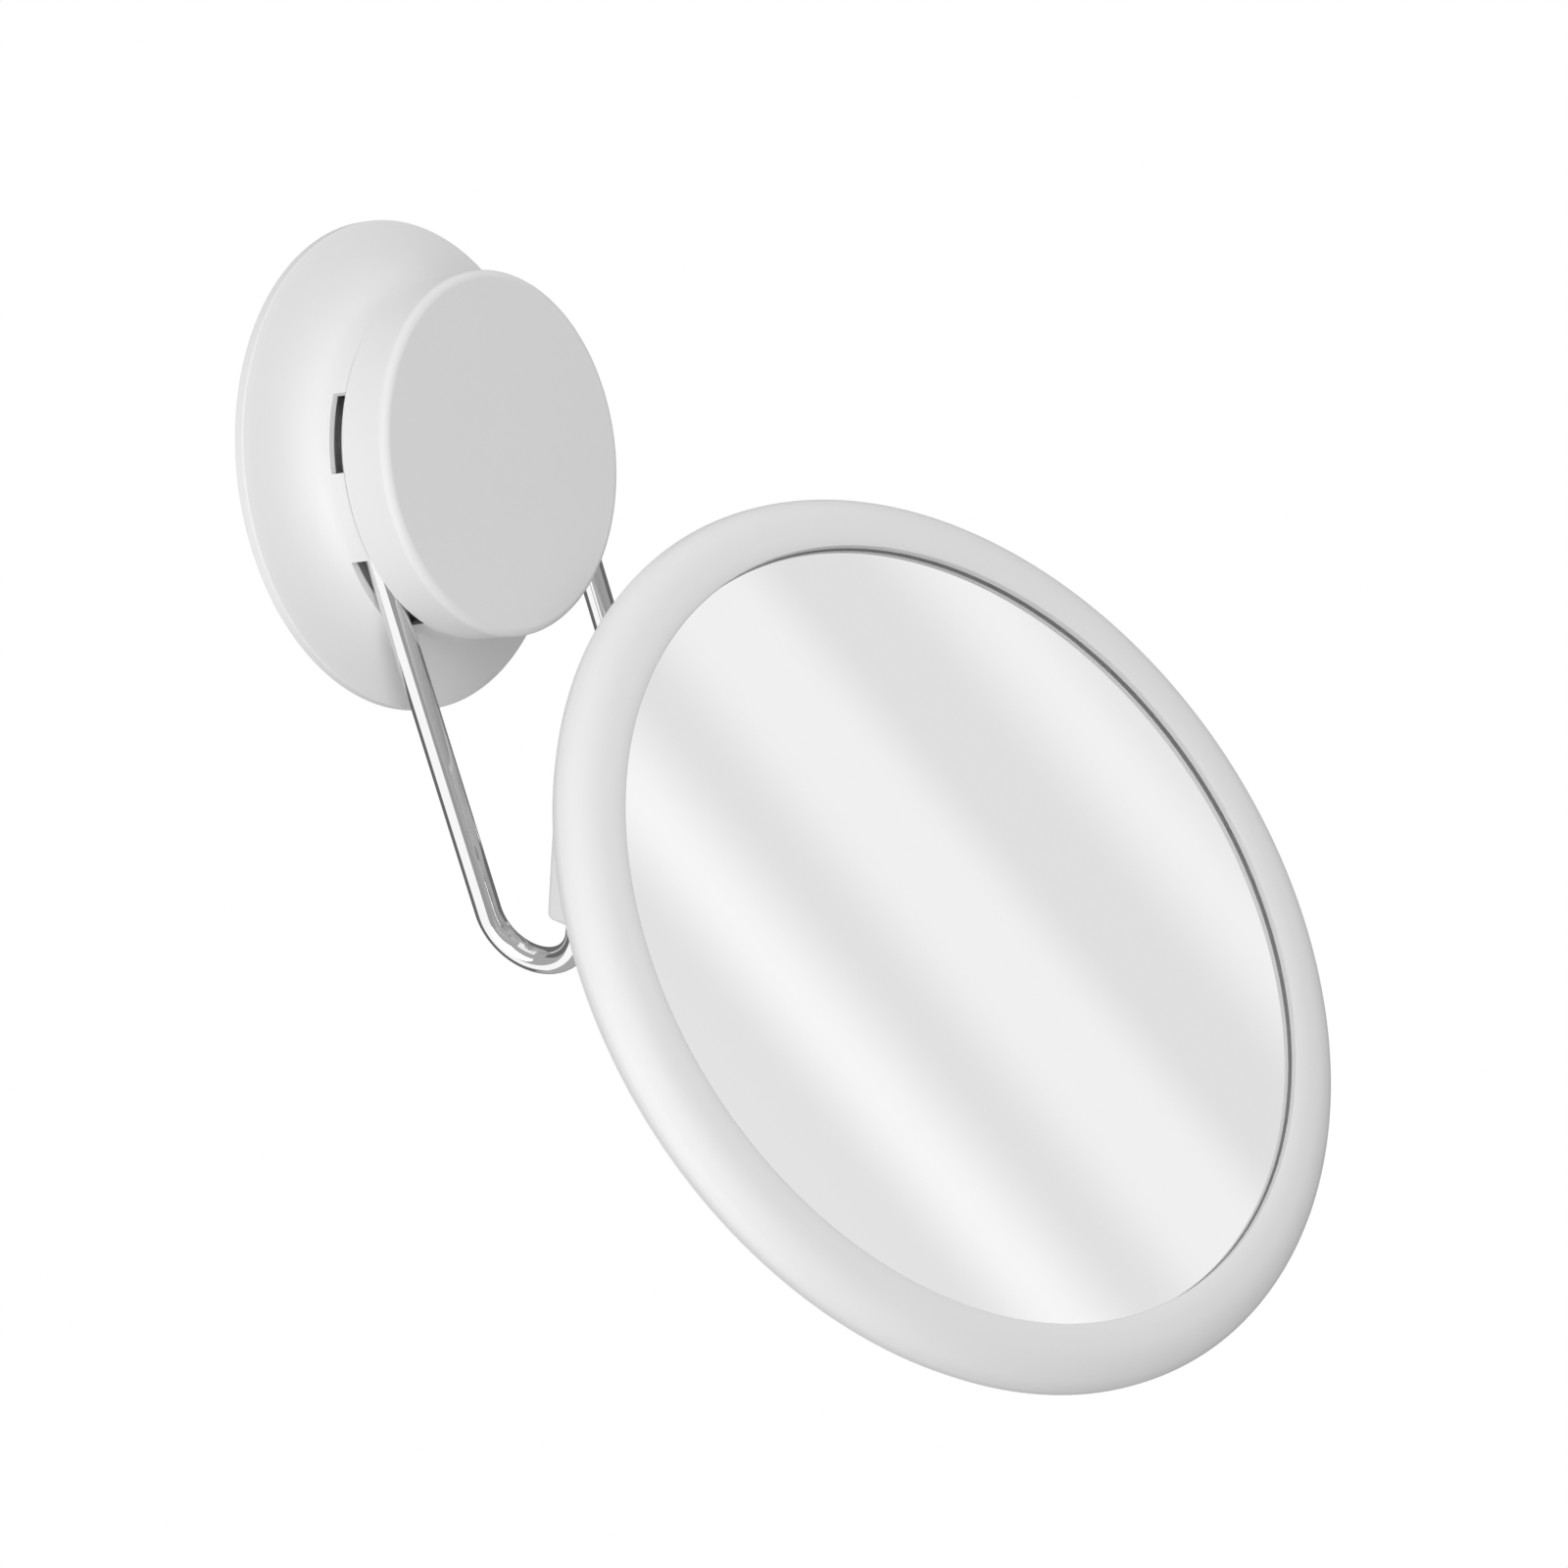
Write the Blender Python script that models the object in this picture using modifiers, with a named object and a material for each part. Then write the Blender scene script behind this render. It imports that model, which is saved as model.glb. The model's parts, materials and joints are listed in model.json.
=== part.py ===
"""Extendable shaving mirror: a round tilting mirror on a wire arm and a twist-lock suction base.

The wall is the plane Y = 0, the mirror reaches out towards -Y, +Z is up and X is level. The origin is
the centre of the suction cup's contact ring. Dimensions are in millimetres and become metres when a
mesh is made. Each frame is an empty whose local z points outwards, local y upwards and local x along
+X, so a turned profile is (radius, outward) and a side outline is (outward, upward).
"""

import math

import bmesh
import bpy
from mathutils import Matrix, Vector

MM = 0.001
GAP = 0.3
ROUND_STEPS = 44
RIM_STEPS = 60
SMALL_STEPS = 12

# Suction base: radii, and heights off the wall.
SKIRT_R = 44.8
CUP_R = 43.4
BODY_R = 32.5
BODY_BORE_R = 31.2
BODY_TOP = 14.9
FLOOR_TOP = 8.1
FLOOR_UNDER = 6.6
TOWER_R = 11.0
TOWER_BORE_R = 8.6
TOWER_TOP = 17.4
SPRING_CEILING = 15.7
STEM_R = 3.0
CAP_R = 33.4
CAP_REAR_R = 32.9
CAP_BORE_R = 31.4
CAP_REAR = 15.2
CAP_FACE = 25.7
CAP_EDGE_R = 1.6
CAP_CEILING = 23.8
CAP_BOSS_R = 9.0
NUT_R = 6.0
NUT_REAR = 18.5
NUT_TOP = 20.0
SPRING_R = 5.6
SPRING_WIRE_R = 0.5
SPRING_TURNS = 4
CLAMP_REAR = 16.7
CLAMP_TOP = 18.2
CLAMP_SCREW_PITCH_R = 20.0
CLAMP_SCREW_ANGLES = (90, 210, 330)
SIGHT_SLOT = (131, 157, 12.0)
WIRE_SLOT = ((-3.9, 10.5), (-20.6, 8.7))

# Wire arm: one wire, an arch in the base, two straight legs and a hook at the foot of each.
WIRE_R = 2.5
LEG_X = 28.3
ARCH_OUT = 13.9
LEG_LEAN = 6.5
HOOK_R = 10.0
HOOK_BOTTOM = -89.1
HOOK_END_ANGLE = 62.3
WIRE_IN_BLOCK = 15.0

# Knuckle block on the wire's ends, and the extension link's two hinge axes.
BLOCK_HALF_X = 31.8
BLOCK_BELOW_HINGE = 17.4
BLOCK_BEHIND_HINGE = 4.8
WIRE_END_TO_HINGE = 20.2
WIRE_BEHIND_HINGE = -0.4
BARREL_R = 4.8
EAR_INNER_X = 12.6
LINK_HALF_X = 11.0
LINK_HALF_THICK = 3.4
PIN_R = 1.9
PIN_HOLE_R = 2.2

# Mirror: distances along its normal are from the plane of the bezel's inner lip.
MIRROR_TILT = 22.76
LIP_CENTRE = (86.4, -103.75)
LIP_R = 76.2
BEZEL_R = 87.5
GLASS_R = 80.0
GLASS_FRONT = -1.8
GLASS_BACK = -3.8
SHELL_BACK = -14.0
HINGE_BEHIND_LIP = 22.0
PLATE_BACK = -16.8
PLATE_HALF_V = 19.0
BRACKET_HALF_X = 16.5
BRACKET_SCREWS = ((-8.0, 15.0), (8.0, 15.0), (-8.0, -15.0), (8.0, -15.0))

MATERIALS = {
    "white_plastic": ((0.86, 0.86, 0.86), 0.38, 0.0),
    "grey_plastic": ((0.62, 0.63, 0.65), 0.45, 0.0),
    "clear_rubber": ((0.80, 0.81, 0.82), 0.30, 0.0),
    "chrome": ((0.86, 0.87, 0.88), 0.06, 1.0),
    "steel": ((0.58, 0.58, 0.60), 0.30, 1.0),
    "brass": ((0.80, 0.62, 0.30), 0.30, 1.0),
    "foam": ((0.30, 0.30, 0.31), 0.95, 0.0),
    "mirror_silver": ((0.92, 0.93, 0.93), 0.02, 1.0),
}


def clear_scene():
    for obj in list(bpy.data.objects):
        bpy.data.objects.remove(obj)


def new_collection(name):
    collection = bpy.data.collections.new(name)
    bpy.context.scene.collection.children.link(collection)
    return collection


clear_scene()
PARTS = new_collection("extendable_shaving_mirror")
CUTTERS = new_collection("cutters")
CUTTERS.hide_render = True


def unit(angle_deg):
    """Unit vector in the (outward, upward) plane, at this angle above outward."""
    angle = math.radians(angle_deg)
    return Vector((math.cos(angle), math.sin(angle)))


def wire_layout():
    """Hook centre, start of the wire's straight end and the knuckle's hinge, as (outward, upward)."""
    leg = unit(-90.0 - LEG_LEAN)
    centre_up = HOOK_BOTTOM + HOOK_R
    leg_out = ARCH_OUT + leg.x / leg.y * centre_up
    centre = Vector((leg_out + HOOK_R / -leg.y, centre_up))
    straight = centre + HOOK_R * unit(HOOK_END_ANGLE - 90.0)
    hinge = (
        straight
        + WIRE_END_TO_HINGE * unit(HOOK_END_ANGLE)
        + WIRE_BEHIND_HINGE * unit(HOOK_END_ANGLE - 90.0)
    )
    return centre, straight, hinge


HOOK_CENTRE, WIRE_STRAIGHT, KNUCKLE_HINGE = wire_layout()
MIRROR_HINGE = Vector(LIP_CENTRE) - HINGE_BEHIND_LIP * unit(MIRROR_TILT)
LINK_SPAN = MIRROR_HINGE - KNUCKLE_HINGE
LINK_LENGTH = LINK_SPAN.length
LINK_ANGLE = math.degrees(math.atan2(LINK_SPAN.y, LINK_SPAN.x))


def material(name):
    found = bpy.data.materials.get(name)
    if found:
        return found
    colour, roughness, metallic = MATERIALS[name]
    made = bpy.data.materials.new(name)
    made.use_nodes = True
    shader = made.node_tree.nodes["Principled BSDF"]
    shader.inputs["Base Color"].default_value = (*colour, 1.0)
    shader.inputs["Roughness"].default_value = roughness
    shader.inputs["Metallic"].default_value = metallic
    made.diffuse_color = (*colour, 1.0)
    return made


def frame(name, at=(0.0, 0.0), tilt_deg=0.0):
    """An empty at (outward, upward) whose local z leans this far above outward."""
    empty = bpy.data.objects.new(name, None)
    PARTS.objects.link(empty)
    empty.location = (0.0, -at[0] * MM, at[1] * MM)
    empty.rotation_euler = (math.radians(90.0 - tilt_deg), 0.0, 0.0)
    return empty


def place(name, data, parent, material_name):
    obj = bpy.data.objects.new(name, data)
    obj.parent = parent
    if material_name is None:
        CUTTERS.objects.link(obj)
        obj.hide_render = True
        obj.display_type = "WIRE"
    else:
        PARTS.objects.link(obj)
        data.materials.append(material(material_name))
    return obj


def smooth(mesh, angle_deg=35.0):
    mesh.shade_smooth()
    mesh.set_sharp_from_angle(angle=math.radians(angle_deg))


def turned(name, profile, parent, material_name, steps=ROUND_STEPS, closed=False, lift=0.0):
    """A profile of (radius, outward) points, turned about the frame's local z by a Screw modifier."""
    mesh = bpy.data.meshes.new(name)
    points = [(radius * MM, 0.0, (out + lift) * MM) for radius, out in profile]
    edges = [(i, i + 1) for i in range(len(points) - 1)]
    if closed:
        edges.append((len(points) - 1, 0))
    mesh.from_pydata(points, edges, [])
    obj = place(name, mesh, parent, material_name)
    screw = obj.modifiers.new("turn", "SCREW")
    screw.steps = screw.render_steps = steps
    screw.use_merge_vertices = True
    screw.merge_threshold = 0.00001
    screw.use_smooth_shade = False
    return obj


def cylinder(name, radius, low, high, parent, material_name, at=(0.0, 0.0), along="out", steps=SMALL_STEPS):
    """A rod from low to high along the frame's local z (at x, y) or local x (at outward, upward)."""
    mesh = bpy.data.meshes.new(name)
    work = bmesh.new()
    length = (high - low) * MM
    bmesh.ops.create_cone(
        work, cap_ends=True, segments=steps, radius1=radius * MM, radius2=radius * MM, depth=length
    )
    middle = (high + low) / 2 * MM
    if along == "out":
        matrix = Matrix.Translation((at[0] * MM, at[1] * MM, middle))
    else:
        turn = Matrix.Rotation(math.radians(90.0), 4, "Y")
        matrix = Matrix.Translation((middle, at[1] * MM, at[0] * MM)) @ turn
    bmesh.ops.transform(work, matrix=matrix, verts=work.verts)
    work.to_mesh(mesh)
    work.free()
    return place(name, mesh, parent, material_name)


def box(name, low, high, parent, material_name):
    """A box between two corners (x, up, out) of the frame."""
    mesh = bpy.data.meshes.new(name)
    work = bmesh.new()
    bmesh.ops.create_cube(work, size=1.0)
    size = [(b - a) * MM for a, b in zip(low, high)]
    middle = [(b + a) / 2 * MM for a, b in zip(low, high)]
    matrix = Matrix.Translation(middle) @ Matrix.Diagonal((*size, 1.0))
    bmesh.ops.transform(work, matrix=matrix, verts=work.verts)
    work.to_mesh(mesh)
    work.free()
    return place(name, mesh, parent, material_name)


def arc(centre, radius, start_deg, end_deg, steps):
    """Points on a circle, both ends included."""
    span = end_deg - start_deg
    return [Vector(centre) + radius * unit(start_deg + span * i / steps) for i in range(steps + 1)]


def as_mesh(obj):
    """Replaces a curve object by the mesh it evaluates to, with its loose caps welded on."""
    bpy.context.view_layer.update()
    graph = bpy.context.evaluated_depsgraph_get()
    mesh = bpy.data.meshes.new_from_object(obj.evaluated_get(graph))
    work = bmesh.new()
    work.from_mesh(mesh)
    bmesh.ops.remove_doubles(work, verts=work.verts, dist=0.000001)
    bmesh.ops.recalc_face_normals(work, faces=work.faces)
    work.to_mesh(mesh)
    work.free()
    name, curve, collections = obj.name, obj.data, list(obj.users_collection)
    parent, basis, hidden = obj.parent, obj.matrix_basis.copy(), obj.hide_render
    bpy.data.objects.remove(obj)
    bpy.data.curves.remove(curve)
    mesh.name = name
    made = bpy.data.objects.new(name, mesh)
    made.parent = parent
    made.matrix_basis = basis
    made.hide_render = hidden
    made.display_type = "WIRE" if hidden else "TEXTURED"
    for collection in collections:
        collection.objects.link(made)
    return made


def outline_piece(name, outline, half_width, parent, material_name, side_view=True):
    """A flat outline with depth: (outward, upward) along local x, or (x, up) along local z."""
    curve = bpy.data.curves.new(name, "CURVE")
    curve.dimensions = "2D"
    curve.fill_mode = "BOTH"
    curve.extrude = half_width * MM
    spline = curve.splines.new("POLY")
    spline.points.add(len(outline) - 1)
    for point, corner in zip(spline.points, outline):
        point.co = (corner[0] * MM, corner[1] * MM, 0.0, 1.0)
    spline.use_cyclic_u = True
    obj = place(name, curve, parent, material_name)
    if side_view:
        obj.matrix_basis = Matrix(((0, 0, -1, 0), (0, 1, 0, 0), (1, 0, 0, 0), (0, 0, 0, 1)))
    return as_mesh(obj)


def tube(name, points, radius, parent, material_name):
    """A round wire through these points of the frame."""
    curve = bpy.data.curves.new(name, "CURVE")
    curve.dimensions = "3D"
    curve.bevel_depth = radius * MM
    curve.bevel_resolution = 2
    curve.use_fill_caps = True
    spline = curve.splines.new("POLY")
    spline.points.add(len(points) - 1)
    for point, at in zip(spline.points, points):
        point.co = (at[0] * MM, at[1] * MM, at[2] * MM, 1.0)
    return as_mesh(place(name, curve, parent, material_name))


def boolean(obj, other, operation="DIFFERENCE"):
    modifier = obj.modifiers.new(other.name, "BOOLEAN")
    modifier.operation = operation
    modifier.object = other
    return obj


def rounded(obj, width, segments=2):
    modifier = obj.modifiers.new("edges", "BEVEL")
    modifier.width = width * MM
    modifier.segments = segments
    modifier.limit_method = "ANGLE"
    modifier.angle_limit = math.radians(40.0)
    return obj


def ring(name, inner, outer, low, high, parent, material_name, steps=24):
    """A plain washer or sleeve about the frame's local z."""
    profile = [(outer, high), (outer, low), (inner, low), (inner, high)]
    return turned(name, profile, parent, material_name, steps, closed=True)


def cross_ring(name, inner, outer, low, high, at, parent, material_name):
    """A washer about local x: a disc with a through hole, at (outward, upward)."""
    disc = cylinder(name, outer, low, high, parent, material_name, at, "x", 16)
    hole = cylinder(f"{name}_hole", inner, low - 1.0, high + 1.0, parent, None, at, "x")
    return boolean(disc, hole)


def joined(name, objects, parent):
    """Several separate cutters or lumps as one hidden mesh."""
    work = bmesh.new()
    for obj in objects:
        work.from_mesh(obj.data)
        bpy.data.objects.remove(obj)
    mesh = bpy.data.meshes.new(name)
    work.to_mesh(mesh)
    work.free()
    return place(name, mesh, parent, None)


def hex_nut(name, corner_r, hole_r, low, high, parent, material_name, along="out"):
    nut = cylinder(name, corner_r, low, high, parent, material_name, along=along, steps=6)
    hole = cylinder(f"{name}_hole", hole_r, low - 1.0, high + 1.0, parent, None, along=along, steps=16)
    return boolean(nut, hole)


def screw_piece(name, at, head, shank, parent):
    """A pan-head screw pointing to the wall side: head and shank are (radius, low, high)."""
    profile = [
        (0.0, head[2]),
        (head[0] * 0.7, head[2]),
        (head[0], head[1] + (head[2] - head[1]) * 0.5),
        (head[0], head[1]),
        (shank[0], head[1]),
        (shank[0], shank[1] + shank[0]),
        (0.0, shank[1]),
    ]
    obj = turned(name, profile, parent, "steel", SMALL_STEPS)
    obj.location = (at[0] * MM, at[1] * MM, 0.0)
    return obj


def suction_cup(base):
    """Soft disc with a flat contact ring and a boss that grips the stud's head."""
    profile = [
        (0.0, 3.8),
        (5.8, 3.8),
        (5.8, 7.0),
        (STEM_R + GAP, 7.0),
        (STEM_R + GAP, 9.0),
        (8.0, 9.0),
        (8.0, 5.4),
        (14.0, 4.2),
        (30.0, 2.2),
        (41.0, 1.1),
        (CUP_R, 0.8),
        (CUP_R, 0.0),
        (36.0, 0.0),
        (30.0, 0.5),
        (15.0, 1.2),
        (0.0, 1.6),
    ]
    return turned("suction_cup", profile, base, "clear_rubber")


def sector_cutter(name, start_deg, end_deg, low, base):
    """A block of a ring that runs through the housing's wall and out of its top edge."""
    inner, outer, high = BODY_BORE_R - 1.5, BODY_R + 3.0, BODY_TOP + 0.6
    outline = arc((0, 0), outer, start_deg, end_deg, 6) + arc((0, 0), inner, end_deg, start_deg, 6)
    cutter = outline_piece(name, outline, (high - low) / 2, base, None, side_view=False)
    cutter.location = (0.0, 0.0, (high + low) / 2 * MM)
    return cutter


def wire_slot_cutter(base):
    """Two blocks that open the housing's wall where the legs leave it, sloped as the legs lean."""
    (top_up, top_out), (foot_up, foot_out) = WIRE_SLOT
    open_end = BODY_TOP + 0.6
    outline = [(foot_out, foot_up), (open_end, foot_up), (open_end, top_up), (top_out, top_up)]
    half_depth = 7.0
    cutter = outline_piece("wire_slots", outline, half_depth, base, None)
    halves = [cutter.data.copy(), cutter.data]
    for mesh, side in zip(halves, (-1, 1)):
        mesh.transform(Matrix.Translation((0.0, 0.0, side * (BODY_R + 3.0 - half_depth) * MM)))
    work = bmesh.new()
    for mesh in halves:
        work.from_mesh(mesh)
    work.to_mesh(cutter.data)
    work.free()
    return cutter


def base_housing(base):
    """Flared skirt, short cylinder, inner floor and the tower that guides the stud."""
    flare = [
        (BODY_R, 11.6),
        (32.7, 10.2),
        (33.3, 8.8),
        (34.4, 7.3),
        (36.1, 5.9),
        (38.3, 4.7),
        (41.2, 3.6),
        (43.8, 2.7),
        (44.6, 2.2),
        (SKIRT_R, 1.6),
        (SKIRT_R, 0.6),
        (44.5, 0.3),
    ]
    underside = [(43.7, 0.3), (43.7, 1.1), (41.0, 2.2), (37.6, 3.3), (34.6, 4.8), (32.4, FLOOR_UNDER)]
    inside = [
        (TOWER_BORE_R, FLOOR_UNDER),
        (TOWER_BORE_R, SPRING_CEILING),
        (STEM_R + GAP, SPRING_CEILING),
        (STEM_R + GAP, TOWER_TOP),
        (TOWER_R, TOWER_TOP),
        (TOWER_R, FLOOR_TOP),
        (BODY_BORE_R, FLOOR_TOP),
        (BODY_BORE_R, BODY_TOP),
    ]
    profile = [(BODY_R, BODY_TOP)] + flare + underside + inside
    housing = turned("base_housing", profile, base, "white_plastic", closed=True)
    lumps = []
    for angle in CLAMP_SCREW_ANGLES:
        at = CLAMP_SCREW_PITCH_R * unit(angle)
        lumps.append(cylinder("post", 3.0, FLOOR_TOP - 0.6, CLAMP_REAR - GAP, base, None, at))
    for angle in (55, 90, 125):
        lumps.append(arch_rest(angle, base))
    boolean(housing, joined("housing_lumps", lumps, base), "UNION")
    holes = []
    for angle in CLAMP_SCREW_ANGLES:
        at = CLAMP_SCREW_PITCH_R * unit(angle)
        holes.append(cylinder("hole", 1.3, FLOOR_TOP + 1.0, CLAMP_REAR + 1.0, base, None, at))
    boolean(housing, joined("housing_screw_holes", holes, base))
    start, end, low = SIGHT_SLOT
    boolean(housing, sector_cutter("sight_slot_left", start, end, low, base))
    boolean(housing, sector_cutter("sight_slot_right", 180 - end, 180 - start, low, base))
    boolean(housing, wire_slot_cutter(base))
    return housing


def arch_rest(angle_deg, base):
    """A low pad on the housing's floor that the wire's arch lies on."""
    pad = box("pad", (26.4, -2.0, FLOOR_TOP - 0.6), (30.3, 2.0, ARCH_OUT - WIRE_R - GAP), base, None)
    pad.data.transform(Matrix.Rotation(math.radians(angle_deg), 4, "Z"))
    return pad


def wire_path():
    """(x, up, out) points of the wire: hook, leg, arch over the tower, leg, hook."""
    end = WIRE_STRAIGHT + WIRE_IN_BLOCK * unit(HOOK_END_ANGLE)
    side = [end] + arc(HOOK_CENTRE, HOOK_R, HOOK_END_ANGLE - 90.0, -180.0 - LEG_LEAN, 14)
    left = [(-LEG_X, up, out) for out, up in side]
    arch = [(LEG_X * d.x, LEG_X * d.y, ARCH_OUT) for d in (unit(180 - 12 * i) for i in range(16))]
    right = [(-x, up, out) for x, up, out in reversed(left)]
    return left + arch + right


def wire_arm(base):
    return tube("wire_arm", wire_path(), WIRE_R, base, "chrome")


def clamp_ring(base):
    """Flat ring screwed down over the wire's arch."""
    outer = CAP_BORE_R - 0.5
    plate = ring("clamp_ring", 13.0, outer, CLAMP_REAR, CLAMP_TOP, base, "grey_plastic", ROUND_STEPS)
    holes = []
    for index, angle in enumerate(CLAMP_SCREW_ANGLES):
        at = CLAMP_SCREW_PITCH_R * unit(angle)
        holes.append(cylinder("hole", 1.5, CLAMP_REAR - 1.0, CLAMP_TOP + 1.0, base, None, at))
        screw_piece(
            f"clamp_screw_{index + 1}",
            at,
            (2.6, CLAMP_TOP + GAP, CLAMP_TOP + 2.0),
            (1.0, FLOOR_TOP + 1.6, CLAMP_TOP),
            base,
        )
    boolean(plate, joined("clamp_ring_holes", holes, base))


def locking_cap(base):
    """Flat cap with a rounded edge, and a boss inside that holds its nut."""
    edge = arc((CAP_R - CAP_EDGE_R, CAP_FACE - CAP_EDGE_R), CAP_EDGE_R, 90, 0, 5)
    profile = [(0.0, CAP_FACE)] + [tuple(point) for point in edge]
    profile += [
        (CAP_REAR_R, CAP_REAR + 0.3),
        (CAP_REAR_R - 0.3, CAP_REAR),
        (CAP_BORE_R, CAP_REAR),
        (CAP_BORE_R, CAP_CEILING - 1.4),
        (CAP_BORE_R - 1.4, CAP_CEILING),
        (CAP_BOSS_R, CAP_CEILING),
        (CAP_BOSS_R, NUT_REAR),
        (NUT_R + GAP, NUT_REAR),
        (NUT_R + GAP, CAP_CEILING),
        (0.0, CAP_CEILING),
    ]
    turned("locking_cap", profile, base, "white_plastic")
    hex_nut("cap_nut", NUT_R, STEM_R + 0.4, NUT_REAR, NUT_TOP, base, "brass")


def stud_group(base):
    """Stud with its moulded-in head, stop clip and release spring."""
    clip_low = 22.2
    profile = [
        (0.0, 23.3),
        (STEM_R, 23.3),
        (STEM_R, 22.9),
        (2.4, 22.9),
        (2.4, 21.9),
        (STEM_R, 21.9),
        (STEM_R, 6.7),
        (5.5, 6.7),
        (5.5, 4.1),
        (0.0, 4.1),
    ]
    turned("draw_stud", profile, base, "steel", 24)
    ring("stud_clip", 2.4 + GAP, 4.8, clip_low, clip_low + 0.4, base, "steel")
    low, high, per_turn = 9.8, SPRING_CEILING - SPRING_WIRE_R - GAP, 12
    count = SPRING_TURNS * per_turn
    coil = []
    for i in range(count + 1):
        point = SPRING_R * unit(360.0 * i / per_turn)
        coil.append((point.x, point.y, low + (high - low) * i / count))
    tube("release_spring", coil, SPRING_WIRE_R, base, "steel")


def knuckle_block(knuckle):
    """Moulded block on both wire ends, with a gap in its middle for the link's barrel."""
    back, top_r = -BLOCK_BEHIND_HINGE, 2.0
    outline = [(back, -BLOCK_BELOW_HINGE), (3.6, -BLOCK_BELOW_HINGE), (BARREL_R, -4.0)]
    outline += arc((0, 0), BARREL_R, 0.0, 90.0, 4) + arc((back + top_r, BARREL_R - top_r), top_r, 90.0, 180.0, 3)
    block = outline_piece("knuckle_block", outline, BLOCK_HALF_X, knuckle, "white_plastic")
    rounded(block, 0.9)
    boolean(block, box("block_front_gap", (-EAR_INNER_X, -25, -2.0), (EAR_INNER_X, 10, 10), knuckle, None))
    boolean(block, box("block_top_gap", (-EAR_INNER_X, -6.2, -10), (EAR_INNER_X, 10, 10), knuckle, None))
    cuts = []
    for side in (-1, 1):
        low, high = -WIRE_END_TO_HINGE, WIRE_IN_BLOCK - WIRE_END_TO_HINGE + GAP
        hole = cylinder("hole", WIRE_R + GAP, low, high, knuckle, None, steps=16)
        turn = Matrix.Rotation(math.radians(-90.0), 4, "X")
        shift = Matrix.Translation((side * LEG_X * MM, 0.0, -WIRE_BEHIND_HINGE * MM))
        hole.data.transform(shift @ turn)
        cuts.append(hole)
        outer = sorted((side * (BLOCK_HALF_X - 3.0), side * (BLOCK_HALF_X + 2.0)))
        boolean(block, cylinder(f"counterbore_{side}", 3.3, *outer, knuckle, None, along="x", steps=16))
    boolean(block, joined("wire_holes", cuts, knuckle))
    boolean(block, cylinder("pin_hole", PIN_HOLE_R, -40, 40, knuckle, None, along="x", steps=16))
    for side, label in ((-1, "left"), (1, "right")):
        grub_screw(f"grub_screw_{label}", side, block, knuckle)
    link_fixings(knuckle)


def grub_screw(name, side, block, knuckle):
    """A short set screw from the block's back face onto the wire end."""
    at = (side * LEG_X, -12.0)
    tip = -WIRE_BEHIND_HINGE - WIRE_R - GAP
    boolean(block, cylinder(f"{name}_hole", 1.5, -8.0, tip + 1.0, knuckle, None, at))
    cylinder(name, 1.2, tip - 2.3, tip - 0.1, knuckle, "steel", at)


def link_fixings(knuckle):
    """Bolt and nut of the knuckle's hinge, sunk in the block's ends."""
    head = 1.9
    start = -BLOCK_HALF_X + 0.7
    bolt = cylinder("link_bolt", PIN_R, start + head, 31.0, knuckle, "steel", along="x", steps=16)
    cap = cylinder("link_bolt_head", 2.9, start, start + head + 0.05, knuckle, None, along="x", steps=16)
    boolean(bolt, cap, "UNION")
    hex_nut("link_nut", 2.9, PIN_HOLE_R, 29.3, 31.0, knuckle, "steel", "x")


def extension_link(link):
    """Flat arm with a barrel at each end, and the friction washers beside both barrels."""
    spread = math.degrees(math.asin(LINK_HALF_THICK / BARREL_R))
    end = (0.0, -LINK_LENGTH)
    outline = arc((0, 0), BARREL_R, -90.0 + spread, 270.0 - spread, 14)
    outline += arc(end, BARREL_R, 90.0 + spread, 450.0 - spread, 14)
    arm = outline_piece("extension_link", outline, LINK_HALF_X, link, "white_plastic")
    rounded(arm, 0.6)
    for label, at in (("link", (0, 0)), ("tilt", end)):
        boolean(arm, cylinder(f"{label}_bore", PIN_HOLE_R, -20, 20, link, None, at, "x", 16))
        low, high = LINK_HALF_X + GAP, EAR_INNER_X - GAP
        for side, word in ((-1, "left"), (1, "right")):
            span = sorted((side * low, side * high))
            cross_ring(f"{label}_washer_{word}", PIN_HOLE_R, 4.5, *span, at, link, "grey_plastic")


def mirror_bezel(mirror, lift):
    """Convex ring with an inner lip, rebated behind for the glass."""
    section = [
        (LIP_R, -0.25),
        (LIP_R + 0.4, 0.05),
        (79.4, 0.4),
        (82.4, 0.1),
        (84.9, -0.95),
        (86.7, -2.7),
        (BEZEL_R, -4.9),
        (87.3, -6.9),
        (84.2, -6.9),
        (84.2, -6.0),
        (GLASS_R + GAP, -6.0),
        (GLASS_R + GAP, GLASS_FRONT + GAP),
        (LIP_R, GLASS_FRONT + GAP),
    ]
    turned("mirror_bezel", section, mirror, "white_plastic", RIM_STEPS, True, lift)


def rear_shell(mirror, lift):
    """Shallow dished back cover with a support rib for the pad and four screw bosses."""
    outer = [(86.6, -7.2), (86.2, -8.6), (83.4, -10.4), (76.0, -12.3), (62.0, -13.5), (42.0, SHELL_BACK)]
    inner = [
        (0.0, -12.0),
        (59.0, -11.6),
        (59.0, -6.1),
        (61.0, -6.1),
        (61.0, -11.4),
        (75.4, -10.1),
        (82.2, -8.6),
        (83.6, -7.2),
    ]
    profile = inner + outer + [(0.0, SHELL_BACK)]
    shell = turned("rear_shell", profile, mirror, "white_plastic", RIM_STEPS, False, lift)
    bosses, holes = [], []
    for at in BRACKET_SCREWS:
        bosses.append(cylinder("boss", 3.2, -12.6 + lift, -7.4 + lift, mirror, None, at))
        holes.append(cylinder("hole", 1.5, -20.0 + lift, -5.0 + lift, mirror, None, at))
    boolean(shell, joined("shell_bosses", bosses, mirror), "UNION")
    boolean(shell, joined("shell_holes", holes, mirror))


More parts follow.
